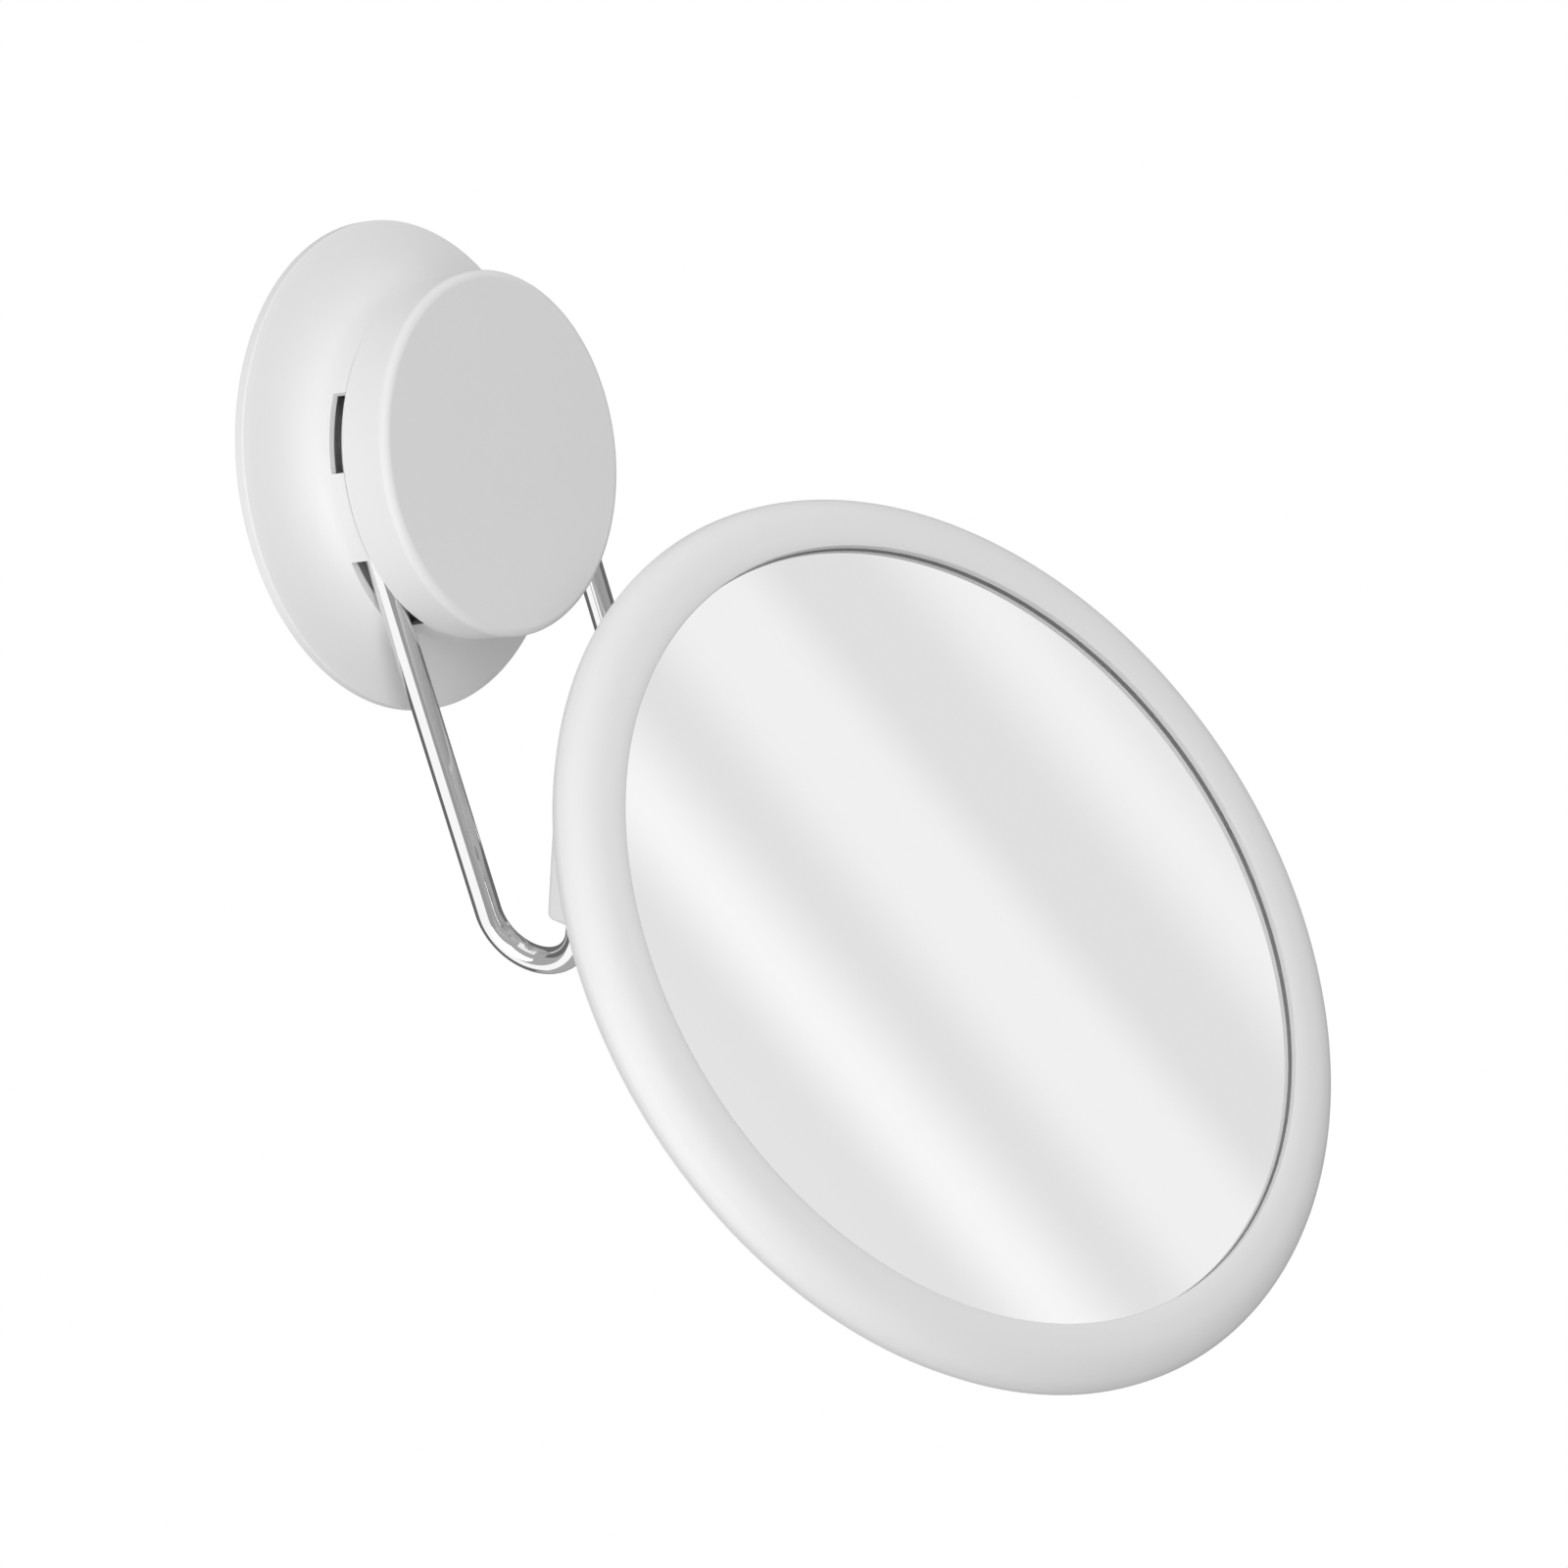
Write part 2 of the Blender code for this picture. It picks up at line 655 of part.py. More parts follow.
def hinge_bracket(mirror, lift):
    """Plate on the shell's back with two ears round the link's barrel."""
    ear_r, foot = 5.2, 9.5
    plate_front = SHELL_BACK - GAP + lift
    plate_back = PLATE_BACK + lift
    outline = [
        (plate_front, -PLATE_HALF_V),
        (plate_front, PLATE_HALF_V),
        (plate_back, PLATE_HALF_V),
        (plate_back, foot),
    ]
    outline += arc((0, 0), ear_r, 120.0, 240.0, 8)
    outline += [(plate_back, -foot), (plate_back, -PLATE_HALF_V)]
    bracket = outline_piece("hinge_bracket", outline, BRACKET_HALF_X, mirror, "white_plastic")
    low, high = (-EAR_INNER_X, -30, -20), (EAR_INNER_X, 30, plate_back)
    boolean(bracket, box("bracket_gap", low, high, mirror, None))
    boolean(bracket, cylinder("bracket_bore", PIN_HOLE_R, -30, 30, mirror, None, along="x", steps=16))
    holes = []
    for index, at in enumerate(BRACKET_SCREWS):
        holes.append(cylinder("hole", 1.5, plate_back - 2, plate_front + 2, mirror, None, at))
        back_screw(f"bracket_screw_{index + 1}", at, plate_back, mirror)
    boolean(bracket, joined("bracket_holes", holes, mirror))


def back_screw(name, at, plate_back, mirror):
    """A pan-head screw driven towards the mirror's front."""
    head_r, head_h, shank_r, length = 2.7, 1.5, 1.15, 8.5
    seat = plate_back - GAP
    profile = [
        (0.0, seat + length),
        (shank_r, seat + length - shank_r),
        (shank_r, seat),
        (head_r, seat),
        (head_r, seat - head_h / 2),
        (head_r * 0.7, seat - head_h),
        (0.0, seat - head_h),
    ]
    obj = turned(name, profile, mirror, "steel", SMALL_STEPS)
    obj.location = (at[0] * MM, at[1] * MM, 0.0)


def tilt_fixings(mirror):
    """Bolt and nut of the mirror's hinge."""
    face = BRACKET_HALF_X + GAP
    bolt = cylinder("tilt_bolt", PIN_R, -face - 0.05, face + 2.6, mirror, "steel", along="x", steps=16)
    head = cylinder("tilt_bolt_head", 3.4, -face - 1.6, -face, mirror, None, along="x", steps=16)
    boolean(bolt, head, "UNION")
    hex_nut("tilt_nut", 3.5, PIN_HOLE_R, face, face + 2.2, mirror, "steel", "x")


def mirror_group(mirror):
    lift = HINGE_BEHIND_LIP
    mirror_bezel(mirror, lift)
    glass = [
        (0.0, GLASS_FRONT),
        (GLASS_R - 0.4, GLASS_FRONT),
        (GLASS_R, GLASS_FRONT - 0.4),
        (GLASS_R, GLASS_BACK),
        (0.0, GLASS_BACK),
    ]
    turned("mirror_glass", glass, mirror, "mirror_silver", RIM_STEPS, False, lift)
    pad = [(0.0, -4.1), (79.0, -4.1), (79.0, -5.7), (0.0, -5.7)]
    turned("foam_pad", pad, mirror, "foam", ROUND_STEPS, False, lift)
    rear_shell(mirror, lift)
    hinge_bracket(mirror, lift)
    tilt_fixings(mirror)


def smooth_all():
    for obj in PARTS.objects:
        if obj.type == "MESH" and obj.data.polygons:
            smooth(obj.data)
        for modifier in obj.modifiers:
            if modifier.type == "SCREW":
                modifier.use_smooth_shade = True


base_frame = frame("base_axis")
knuckle_frame = frame("knuckle_axis", KNUCKLE_HINGE, HOOK_END_ANGLE - 90.0)
link_frame = frame("link_axis", KNUCKLE_HINGE, LINK_ANGLE + 90.0)
mirror_frame = frame("mirror_axis", MIRROR_HINGE, MIRROR_TILT)

suction_cup(base_frame)
base_housing(base_frame)
wire_arm(base_frame)
clamp_ring(base_frame)
ring("thrust_washer", STEM_R + 0.6, 8.0, TOWER_TOP + GAP, NUT_REAR - GAP, base_frame, "steel")
locking_cap(base_frame)
stud_group(base_frame)
knuckle_block(knuckle_frame)
extension_link(link_frame)
mirror_group(mirror_frame)
smooth_all()
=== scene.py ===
"""Extendable shaving mirror: finished surfaces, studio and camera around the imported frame.

Lengths are in millimetres and become metres when a mesh is made. A place is a matrix whose local z
points outwards, local y upwards and local x along +X, so a turned profile is (radius, outward) and a
side outline is (outward, upward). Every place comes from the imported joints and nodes.
"""

import json
import math

import bmesh
import bpy
import numpy as np
from mathutils import Matrix, Quaternion, Vector


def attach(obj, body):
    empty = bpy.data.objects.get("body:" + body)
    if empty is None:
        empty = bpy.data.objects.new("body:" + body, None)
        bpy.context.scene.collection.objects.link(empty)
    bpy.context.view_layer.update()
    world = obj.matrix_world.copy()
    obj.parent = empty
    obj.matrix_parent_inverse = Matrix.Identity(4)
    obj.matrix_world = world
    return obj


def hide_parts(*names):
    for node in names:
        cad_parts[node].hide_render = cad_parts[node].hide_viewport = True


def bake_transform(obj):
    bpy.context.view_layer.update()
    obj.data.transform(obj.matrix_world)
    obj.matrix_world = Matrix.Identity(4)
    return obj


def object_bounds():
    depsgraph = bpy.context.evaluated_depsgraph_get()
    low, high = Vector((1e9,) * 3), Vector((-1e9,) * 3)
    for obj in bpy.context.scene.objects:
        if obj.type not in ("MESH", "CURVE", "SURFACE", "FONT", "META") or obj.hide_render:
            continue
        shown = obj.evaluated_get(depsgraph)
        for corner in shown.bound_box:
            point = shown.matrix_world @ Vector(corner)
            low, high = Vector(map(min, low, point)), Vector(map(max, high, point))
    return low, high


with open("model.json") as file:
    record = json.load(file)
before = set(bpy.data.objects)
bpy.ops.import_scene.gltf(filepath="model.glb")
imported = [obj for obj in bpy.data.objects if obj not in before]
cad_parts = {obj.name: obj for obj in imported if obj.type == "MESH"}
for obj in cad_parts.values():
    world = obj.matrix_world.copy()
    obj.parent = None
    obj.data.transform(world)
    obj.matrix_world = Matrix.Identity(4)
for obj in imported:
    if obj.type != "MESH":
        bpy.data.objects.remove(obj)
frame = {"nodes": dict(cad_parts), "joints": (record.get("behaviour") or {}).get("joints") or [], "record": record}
cad_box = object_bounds()

NODES = frame["nodes"]
RECORD = frame["record"]
BODY_OF = {node: body for body, names in RECORD["behaviour"]["bodies"].items() for node in names}
SLOT_OF = {row["node"]: row["material_slot"] for row in RECORD["subparts"]}
JOINT_AT = {joint["name"]: joint.get("pos_m") for joint in frame["joints"]}

MM = 0.001
ROUND_STEPS = 192
RIM_STEPS = 288
SMALL_STEPS = 48
ON_AXIS = 0.001
WELD = 0.0005
SHARP_DEG = 32.0
SILVER = 0.93

# Base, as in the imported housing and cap: radii and heights off the wall. The sight slot is a start
# and end angle and a foot; the wire slot is its upper and lower inner corners as (up, outward).
SKIRT_R = 44.8
BODY_R = 32.5
BODY_BORE_R = 31.2
BODY_TOP = 14.9
FLOOR_TOP = 8.1
FLOOR_UNDER = 6.6
TOWER_R = 11.0
TOWER_BORE_R = 8.6
TOWER_TOP = 17.4
SPRING_CEILING = 15.7
STEM_R = 3.3
CAP_R = 33.4
CAP_REAR_R = 32.9
CAP_BORE_R = 31.4
CAP_REAR = 15.2
CAP_FACE = 25.7
CAP_CEILING = 23.8
CAP_EDGE_R = 1.6
NUT_REAR = 18.5
SIGHT_SLOT = (131.0, 157.0, 12.0)
WIRE_SLOT = ((-3.9, 10.5), (-20.6, 8.7))
CUT_PAST = 0.6
POST_R = 3.0
POST_ROUND_R = 20.0

# Wire arm.
WIRE_R = 2.5
LEG_X = 28.3
ARCH_OUT = 13.9
LEG_LEAN = 6.5
HOOK_R = 10.0
HOOK_BOTTOM = -89.1
HOOK_END_ANGLE = 62.3
WIRE_IN_BLOCK = 15.0

# Knuckle block and link.
BLOCK_HALF_X = 31.8
BLOCK_BELOW_HINGE = 17.4
BLOCK_BEHIND_HINGE = 4.8
WIRE_END_TO_HINGE = 20.2
WIRE_BEHIND_HINGE = -0.4
BARREL_R = 4.8
EAR_INNER_X = 12.6
LINK_HALF_X = 11.0
LINK_HALF_THICK = 3.4
PIN_R = 1.9
PIN_HOLE_R = 2.2
GRUB_UP = -12.0
GRUB_TIP = -WIRE_BEHIND_HINGE - WIRE_R - 0.3

# Mirror: distances along its normal are from the plane of the bezel's inner lip.
LIP_R = 76.2
BEZEL_R = 87.5
GLASS_R = 80.0
GLASS_FRONT = -1.8
GLASS_BACK = -3.8
SHELL_BACK = -14.0
HINGE_BEHIND_LIP = 22.0
PLATE_BACK = -16.8
PLATE_HALF_V = 19.0
BRACKET_HALF_X = 16.5
BRACKET_SCREWS = ((-8.0, 15.0), (8.0, 15.0), (-8.0, -15.0), (8.0, -15.0))
SCREW_HOLE_R = 1.5


def unit(angle_deg):
    """Unit vector at this angle above the first axis."""
    angle = math.radians(angle_deg)
    return Vector((math.cos(angle), math.sin(angle)))


def place_at(origin, outward):
    """Matrix from a place's local millimetres to world metres."""
    z = Vector(outward).normalized()
    x = Vector((1.0, 0.0, 0.0))
    y = z.cross(x)
    matrix = Matrix((x, y, z)).transposed().to_4x4()
    return Matrix.Translation(Vector(origin)) @ matrix @ Matrix.Scale(MM, 4)


def disc_normal(node):
    """Outward normal of a disc-shaped node, from its mesh."""
    points = np.array([v.co for v in NODES[node].data.vertices], float)
    normal = np.linalg.svd(points - points.mean(0), full_matrices=False)[2][-1]
    return Vector(normal if normal[1] < 0 else -normal)


def out_up(angle_deg):
    """World direction at this angle above outward."""
    d = unit(angle_deg)
    return Vector((0.0, -d.x, d.y))


KNUCKLE_AT = Vector(JOINT_AT["link_swing"])
TILT_AT = Vector(JOINT_AT["mirror_tilt"])
LINK_SPAN = TILT_AT - KNUCKLE_AT
LINK_LENGTH = LINK_SPAN.length / MM
MIRROR_NORMAL = disc_normal("mirror_glass")
BASE = place_at((0.0, 0.0, 0.0), (0.0, -1.0, 0.0))
KNUCKLE = place_at(KNUCKLE_AT, out_up(HOOK_END_ANGLE - 90.0))
LINK = place_at(KNUCKLE_AT, Vector((1.0, 0.0, 0.0)).cross(-LINK_SPAN))
MIRROR = place_at(TILT_AT + HINGE_BEHIND_LIP * MM * MIRROR_NORMAL, MIRROR_NORMAL)


# ---------------------------------------------------------------- materials


def new_material(name):
    """A fresh node material with its tree and its shader."""
    made = bpy.data.materials.new(name)
    made.use_nodes = True
    return made, made.node_tree, made.node_tree.nodes["Principled BSDF"]


def surface(name, colour, roughness, metallic=0.0, spread=0.03, tint=0.01, grain=900.0, bump=0.02,
            stretch=(1.0, 1.0, 1.0), depth=0.00004, **uniform):
    """A shader whose colour, gloss and relief all vary a little, by noise in the object's own metres."""
    made, tree, shader = new_material(name)
    where = tree.nodes.new("ShaderNodeTexCoord")
    mapping = tree.nodes.new("ShaderNodeMapping")
    mapping.inputs["Scale"].default_value = stretch
    tree.links.new(where.outputs["Object"], mapping.inputs["Vector"])
    broad = tree.nodes.new("ShaderNodeTexNoise")
    broad.inputs["Scale"].default_value = 35.0
    broad.inputs["Detail"].default_value = 3.0
    tree.links.new(mapping.outputs["Vector"], broad.inputs["Vector"])
    fine = tree.nodes.new("ShaderNodeTexNoise")
    fine.inputs["Scale"].default_value = grain
    fine.inputs["Detail"].default_value = 2.0
    tree.links.new(mapping.outputs["Vector"], fine.inputs["Vector"])
    blend = tree.nodes.new("ShaderNodeMix")
    blend.data_type = "RGBA"
    blend.inputs["A"].default_value = (*[c * (1.0 - tint) for c in colour], 1.0)
    blend.inputs["B"].default_value = (*[min(1.0, c * (1.0 + tint)) for c in colour], 1.0)
    tree.links.new(broad.outputs["Fac"], blend.inputs["Factor"])
    tree.links.new(blend.outputs["Result"], shader.inputs["Base Color"])
    gloss = tree.nodes.new("ShaderNodeMapRange")
    gloss.inputs["To Min"].default_value = max(0.0, roughness - spread)
    gloss.inputs["To Max"].default_value = roughness + spread
    tree.links.new(fine.outputs["Fac"], gloss.inputs["Value"])
    tree.links.new(gloss.outputs["Result"], shader.inputs["Roughness"])
    if bump > 0.0:
        relief = tree.nodes.new("ShaderNodeBump")
        relief.inputs["Strength"].default_value = bump
        relief.inputs["Distance"].default_value = depth
        tree.links.new(fine.outputs["Fac"], relief.inputs["Height"])
        tree.links.new(relief.outputs["Normal"], shader.inputs["Normal"])
    shader.inputs["Metallic"].default_value = metallic
    for socket, value in uniform.items():
        shader.inputs[socket.replace("_", " ")].default_value = value
    return made


MATERIALS = {
    "white_plastic": surface(
        "white_plastic", (0.86, 0.86, 0.86), 0.42, spread=0.04, grain=1400.0, bump=0.03,
    ),
    "grey_plastic": surface("grey_plastic", (0.55, 0.56, 0.58), 0.50, bump=0.15),
    "clear_rubber": surface(
        "clear_rubber", (0.84, 0.86, 0.87), 0.22, spread=0.06, tint=0.02, grain=300.0, bump=0.05,
        Transmission_Weight=0.55, IOR=1.45,
    ),
    "chrome": surface(
        "chrome", (0.88, 0.88, 0.88), 0.03, 1.0, spread=0.01, tint=0.01, grain=500.0, bump=0.0,
    ),
    "steel": surface(
        "steel", (0.56, 0.56, 0.58), 0.30, 1.0, spread=0.08, tint=0.04, grain=1200.0, bump=0.10,
    ),
    "brass": surface(
        "brass", (0.78, 0.60, 0.29), 0.28, 1.0, spread=0.06, tint=0.04, grain=1200.0, bump=0.10,
    ),
    "foam": surface("foam", (0.26, 0.26, 0.27), 0.95, spread=0.03, tint=0.10, grain=1500.0, bump=0.6),
    "mirror_silver": surface(
        "mirror_silver", (SILVER, SILVER, SILVER), 0.012, 1.0, spread=0.004, tint=0.002, grain=60.0,
        bump=0.0,
    ),
    "mirror_paint": surface(
        "mirror_paint", (0.34, 0.36, 0.39), 0.55, spread=0.05, tint=0.04, grain=600.0, bump=0.2,
    ),
}


# ---------------------------------------------------------------- mesh tools


def finished(name, work, place, material, sharp_deg=SHARP_DEG):
    """An object from this bmesh in local millimetres, welded, smooth shaded and with outward faces."""
    bmesh.ops.remove_doubles(work, verts=work.verts, dist=WELD)
    bmesh.ops.recalc_face_normals(work, faces=work.faces)
    mesh = bpy.data.meshes.new(name)
    work.to_mesh(mesh)
    work.free()
    mesh.transform(place)
    obj = bpy.data.objects.new(name, mesh)
    bpy.context.scene.collection.objects.link(obj)
    if material:
        mesh.materials.append(MATERIALS[material])
    soften(mesh, sharp_deg)
    return obj


def soften(mesh, sharp_deg=SHARP_DEG):
    """Smooth shading, broken at edges sharper than this angle."""
    mesh.shade_smooth()
    mesh.set_sharp_from_angle(angle=math.radians(sharp_deg))


def turned(name, profile, place, material, steps=ROUND_STEPS, closed=True, sharp_deg=SHARP_DEG):
    """A (radius, outward) profile turned about the place's local z."""
    work = bmesh.new()
    directions = [unit(360.0 * i / steps) for i in range(steps)]
    rings = []
    for radius, out in profile:
        if radius < ON_AXIS:
            rings.append([work.verts.new((0.0, 0.0, out))])
            continue
        rings.append([work.verts.new((radius * d.x, radius * d.y, out)) for d in directions])
    pairs = list(zip(rings, rings[1:]))
    if closed:
        pairs.append((rings[-1], rings[0]))
    for low, high in pairs:
        for i in range(steps):
            j = (i + 1) % steps
            if len(low) == 1 and len(high) == 1:
                continue
            if len(low) == 1:
                work.faces.new((low[0], high[i], high[j]))
            elif len(high) == 1:
                work.faces.new((low[i], high[0], low[j]))
            else:
                work.faces.new((low[i], high[i], high[j], low[j]))
    return finished(name, work, place, material, sharp_deg)


def filleted(corners, closed=True, steps=4):
    """Points of a path whose (x, y, radius) corners are rounded off by arcs."""
    points = []
    count = len(corners)
    for index, (x, y, radius) in enumerate(corners):
        here = Vector((x, y))
        if radius <= 0.0 or (not closed and index in (0, count - 1)):
            points.append(here)
            continue
        before = (Vector(corners[index - 1][:2]) - here).normalized()
        after = (Vector(corners[(index + 1) % count][:2]) - here).normalized()
        half = before.angle(after) / 2.0
        reach = radius / math.tan(half)
        middle = here + (before + after).normalized() * (radius / math.sin(half))
        start = here + before * reach - middle
        end = here + after * reach - middle
        for i in range(steps + 1):
            share = i / steps
            ray = (start * (1.0 - share) + end * share).normalized()
            points.append(middle + ray * radius)
    return points


def eased(points, per_span=6):
    """A smooth curve through these points, both ends kept."""
    padded = [points[0]] + list(points) + [points[-1]]
    found = []
    for a, b, c, d in zip(padded, padded[1:], padded[2:], padded[3:]):
        a, b, c, d = (Vector(p) for p in (a, b, c, d))
        for i in range(per_span):
            t = i / per_span
            square = (2 * a - 5 * b + 4 * c - d) * t**2
            cube = (3 * b - a - 3 * c + d) * t**3
            found.append(0.5 * (2 * b + (c - a) * t + square + cube))
    return found + [Vector(points[-1])]


def arc(centre, radius, start_deg, end_deg, steps):
    """Points on a circle, both ends included."""
    span = end_deg - start_deg
    return [Vector(centre) + radius * unit(start_deg + span * i / steps) for i in range(steps + 1)]


def slab(name, outline, low, high, place, material, bevel=0.0, segments=3, along="x"):
    """A side outline (outward, upward) with depth along local x, or an (x, up) one along local z."""
    work = bmesh.new()
    if along == "x":
        ring = [work.verts.new((low, up, out)) for out, up in outline]
        shift = (high - low, 0.0, 0.0)
    else:
        ring = [work.verts.new((x, up, low)) for x, up in outline]
        shift = (0.0, 0.0, high - low)
    base = work.faces.new(ring)
    top = bmesh.ops.extrude_face_region(work, geom=[base])["geom"]
    moved = [v for v in top if isinstance(v, bmesh.types.BMVert)]
    bmesh.ops.translate(work, vec=shift, verts=moved)
    if bevel > 0.0:
        lid = next(f for f in top if isinstance(f, bmesh.types.BMFace))
        rims = list({edge for face in (base, lid) for edge in face.edges})
        bmesh.ops.bevel(
            work, geom=rims, offset=bevel, offset_type="OFFSET", segments=segments, profile=0.5,
            affect="EDGES", clamp_overlap=True,
        )
    return finished(name, work, place, material)


def box_cutter(low, high, place):
    """A plain box between two (x, up, out) corners."""
    outline = [(low[2], low[1]), (high[2], low[1]), (high[2], high[1]), (low[2], high[1])]
    return slab("gap", outline, low[0], high[0], place, None)


def rod(name, radius, low, high, place, material, at=(0.0, 0.0), along="x", steps=SMALL_STEPS):
    """A round bar along local x (at outward, upward) or local z (at x, up)."""
    outline = arc(at, radius, 0.0, 360.0 * (steps - 1) / steps, steps - 1)
    return slab(name, outline, low, high, place, material, along=along)


def settle(obj):
    """Applies an object's modifiers."""
    bpy.context.view_layer.update()
    graph = bpy.context.evaluated_depsgraph_get()
    mesh = bpy.data.meshes.new_from_object(obj.evaluated_get(graph))
    obj.modifiers.clear()
    old = obj.data
    obj.data = mesh
    bpy.data.meshes.remove(old)
    mesh.name = obj.name


def combine(obj, other, operation="DIFFERENCE"):
    """Applies a Boolean at once and removes the other object."""
    modifier = obj.modifiers.new("combine", "BOOLEAN")
    modifier.operation = operation
    modifier.solver = "EXACT"
    modifier.object = other
    settle(obj)
    bpy.data.objects.remove(other)
    soften(obj.data)
    return obj


def wire(name, points, radius, place, material, sides=24):
    """A round wire through these local points, as a mesh with closed ends."""
    curve = bpy.data.curves.new(name, "CURVE")
    curve.dimensions = "3D"
    curve.bevel_depth = radius
    curve.bevel_resolution = sides // 2 - 2
    curve.use_fill_caps = True
    spline = curve.splines.new("POLY")
    spline.points.add(len(points) - 1)
    for point, at in zip(spline.points, points):
        point.co = (*at, 1.0)
    guide = bpy.data.objects.new(name + "_guide", curve)
    bpy.context.scene.collection.objects.link(guide)
    bpy.context.view_layer.update()
    graph = bpy.context.evaluated_depsgraph_get()
    work = bmesh.new()
    mesh = bpy.data.meshes.new_from_object(guide.evaluated_get(graph))
    work.from_mesh(mesh)
    bpy.data.objects.remove(guide)
    bpy.data.curves.remove(curve)
    bpy.data.meshes.remove(mesh)
    return finished(name, work, place, material, 50.0)


def stands_for(piece, node, flatten=True):
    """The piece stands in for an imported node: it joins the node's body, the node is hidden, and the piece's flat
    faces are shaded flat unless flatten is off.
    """
    if flatten:
        modifier = piece.modifiers.new("flatten", "WEIGHTED_NORMAL")
        modifier.keep_sharp = True
        settle(piece)
    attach(piece, BODY_OF[node])
    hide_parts(node)
    return piece


# ---------------------------------------------------------------- base


def sector(start_deg, end_deg, low):
    """Cutter for a slot through the housing's wall and out of its top edge."""
    inner, outer = BODY_BORE_R - 1.5, BODY_R + 3.0
    outline = arc((0, 0), outer, start_deg, end_deg, 12) + arc((0, 0), inner, end_deg, start_deg, 12)
    return slab("sight_cutter", outline, low, BODY_TOP + CUT_PAST, BASE, None, along="z")


def housing():
    """Flared skirt and short cylinder, with the slots behind the cap's edge."""
    flare = eased([
        (BODY_R, 11.6), (32.7, 10.2), (33.3, 8.8), (34.4, 7.3), (36.1, 5.9), (38.3, 4.7), (41.2, 3.6),
        (43.6, 2.75),
    ])
    rim = filleted(
        [(43.6, 2.75, 0), (SKIRT_R, 2.2, 0.5), (SKIRT_R, 0.3, 0.25), (43.7, 0.3, 0)], closed=False
    )
    under = eased([(43.7, 1.1), (41.0, 2.2), (37.6, 3.3), (34.6, 4.8), (32.4, FLOOR_UNDER)])
    inside = [
        (TOWER_BORE_R, FLOOR_UNDER),
        (TOWER_BORE_R, SPRING_CEILING),
        (STEM_R, SPRING_CEILING),
        (STEM_R, TOWER_TOP),
        (TOWER_R, TOWER_TOP),
        (TOWER_R, FLOOR_TOP),
        (BODY_BORE_R, FLOOR_TOP),
        (BODY_BORE_R, BODY_TOP),
    ]
    profile = [(BODY_R, BODY_TOP)] + flare + rim[1:] + under + inside
    shell = turned("housing", profile, BASE, "white_plastic")
    start, end, low = SIGHT_SLOT
    combine(shell, sector(start, end, low))
    combine(shell, sector(180.0 - end, 180.0 - start, low))
    (top_up, top_out), (foot_up, foot_out) = WIRE_SLOT
    open_end = BODY_TOP + CUT_PAST
    outline = [(foot_out, foot_up), (open_end, foot_up), (open_end, top_up), (top_out, top_up)]
    for side in (-1, 1):
        span = sorted((side * (BODY_R - 11.0), side * (BODY_R + 3.0)))
        combine(shell, slab("wire_cutter", outline, *span, BASE, None))
    for angle in (90.0, 210.0, 330.0):
        at = POST_ROUND_R * unit(angle)
        post = rod("post", POST_R, FLOOR_TOP - 0.4, CAP_REAR + 0.4, BASE, None, at, "z")
        combine(shell, post, "UNION")
    return stands_for(shell, "base_housing")


def cap():
    """Flat cap with a rounded face edge and a fine step at its rear."""
    outer = filleted(
        [
            (0.0, CAP_FACE, 0), (CAP_R, CAP_FACE, CAP_EDGE_R), (CAP_REAR_R, CAP_REAR, 0.3),
            (CAP_BORE_R, CAP_REAR, 0),
        ],
        closed=False,
        steps=10,
    )
    inner = filleted(
        [
            (CAP_BORE_R, CAP_REAR, 0), (CAP_BORE_R, CAP_CEILING, 1.4), (9.0, CAP_CEILING, 0),
            (9.0, NUT_REAR, 0), (6.3, NUT_REAR, 0), (6.3, CAP_CEILING, 0), (0.0, CAP_CEILING, 0),
        ],
        closed=False,
        steps=5,
    )
    shell = turned("cap", outer + inner[1:], BASE, "white_plastic", closed=False)
    return stands_for(shell, "locking_cap")


def cup():
    """Soft disc with a flat contact ring, a sealing lip and a boss round the stud's head."""
    top = eased([(8.0, 5.4), (14.0, 4.2), (22.0, 3.1), (30.0, 2.2), (41.0, 1.1), (43.0, 0.85)], 4)
    lip = filleted([(43.0, 0.85, 0), (43.4, 0.8, 0.2), (43.4, 0.0, 0.2), (36.0, 0.0, 0)], closed=False)
    under = eased([(36.0, 0.0), (30.0, 0.5), (15.0, 1.2), (6.0, 1.5), (0.0, 1.6)], 4)
    profile = [(0.0, 3.8), (5.8, 3.8), (5.8, 7.0), (STEM_R, 7.0), (STEM_R, 9.0), (8.0, 9.0)]
    profile += top + lip[1:] + under[1:]
    disc = turned("cup", profile, BASE, "clear_rubber", closed=False)
    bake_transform(disc)
    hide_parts("suction_cup")


def spring():
    """Release spring, built as a fixed coil; the real one lengthens as the stud moves back to the wall."""
    low, high, turns, per_turn, radius = 9.8, SPRING_CEILING - 0.8, 4, 36, 5.6
    count = turns * per_turn
    coil = []
    for i in range(count + 1):
        d = radius * unit(360.0 * i / per_turn)
        coil.append((d.x, d.y, low + (high - low) * i / count))
    coiled = wire("spring", coil, 0.5, BASE, "steel", 12)
    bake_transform(coiled)
    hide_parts("release_spring")


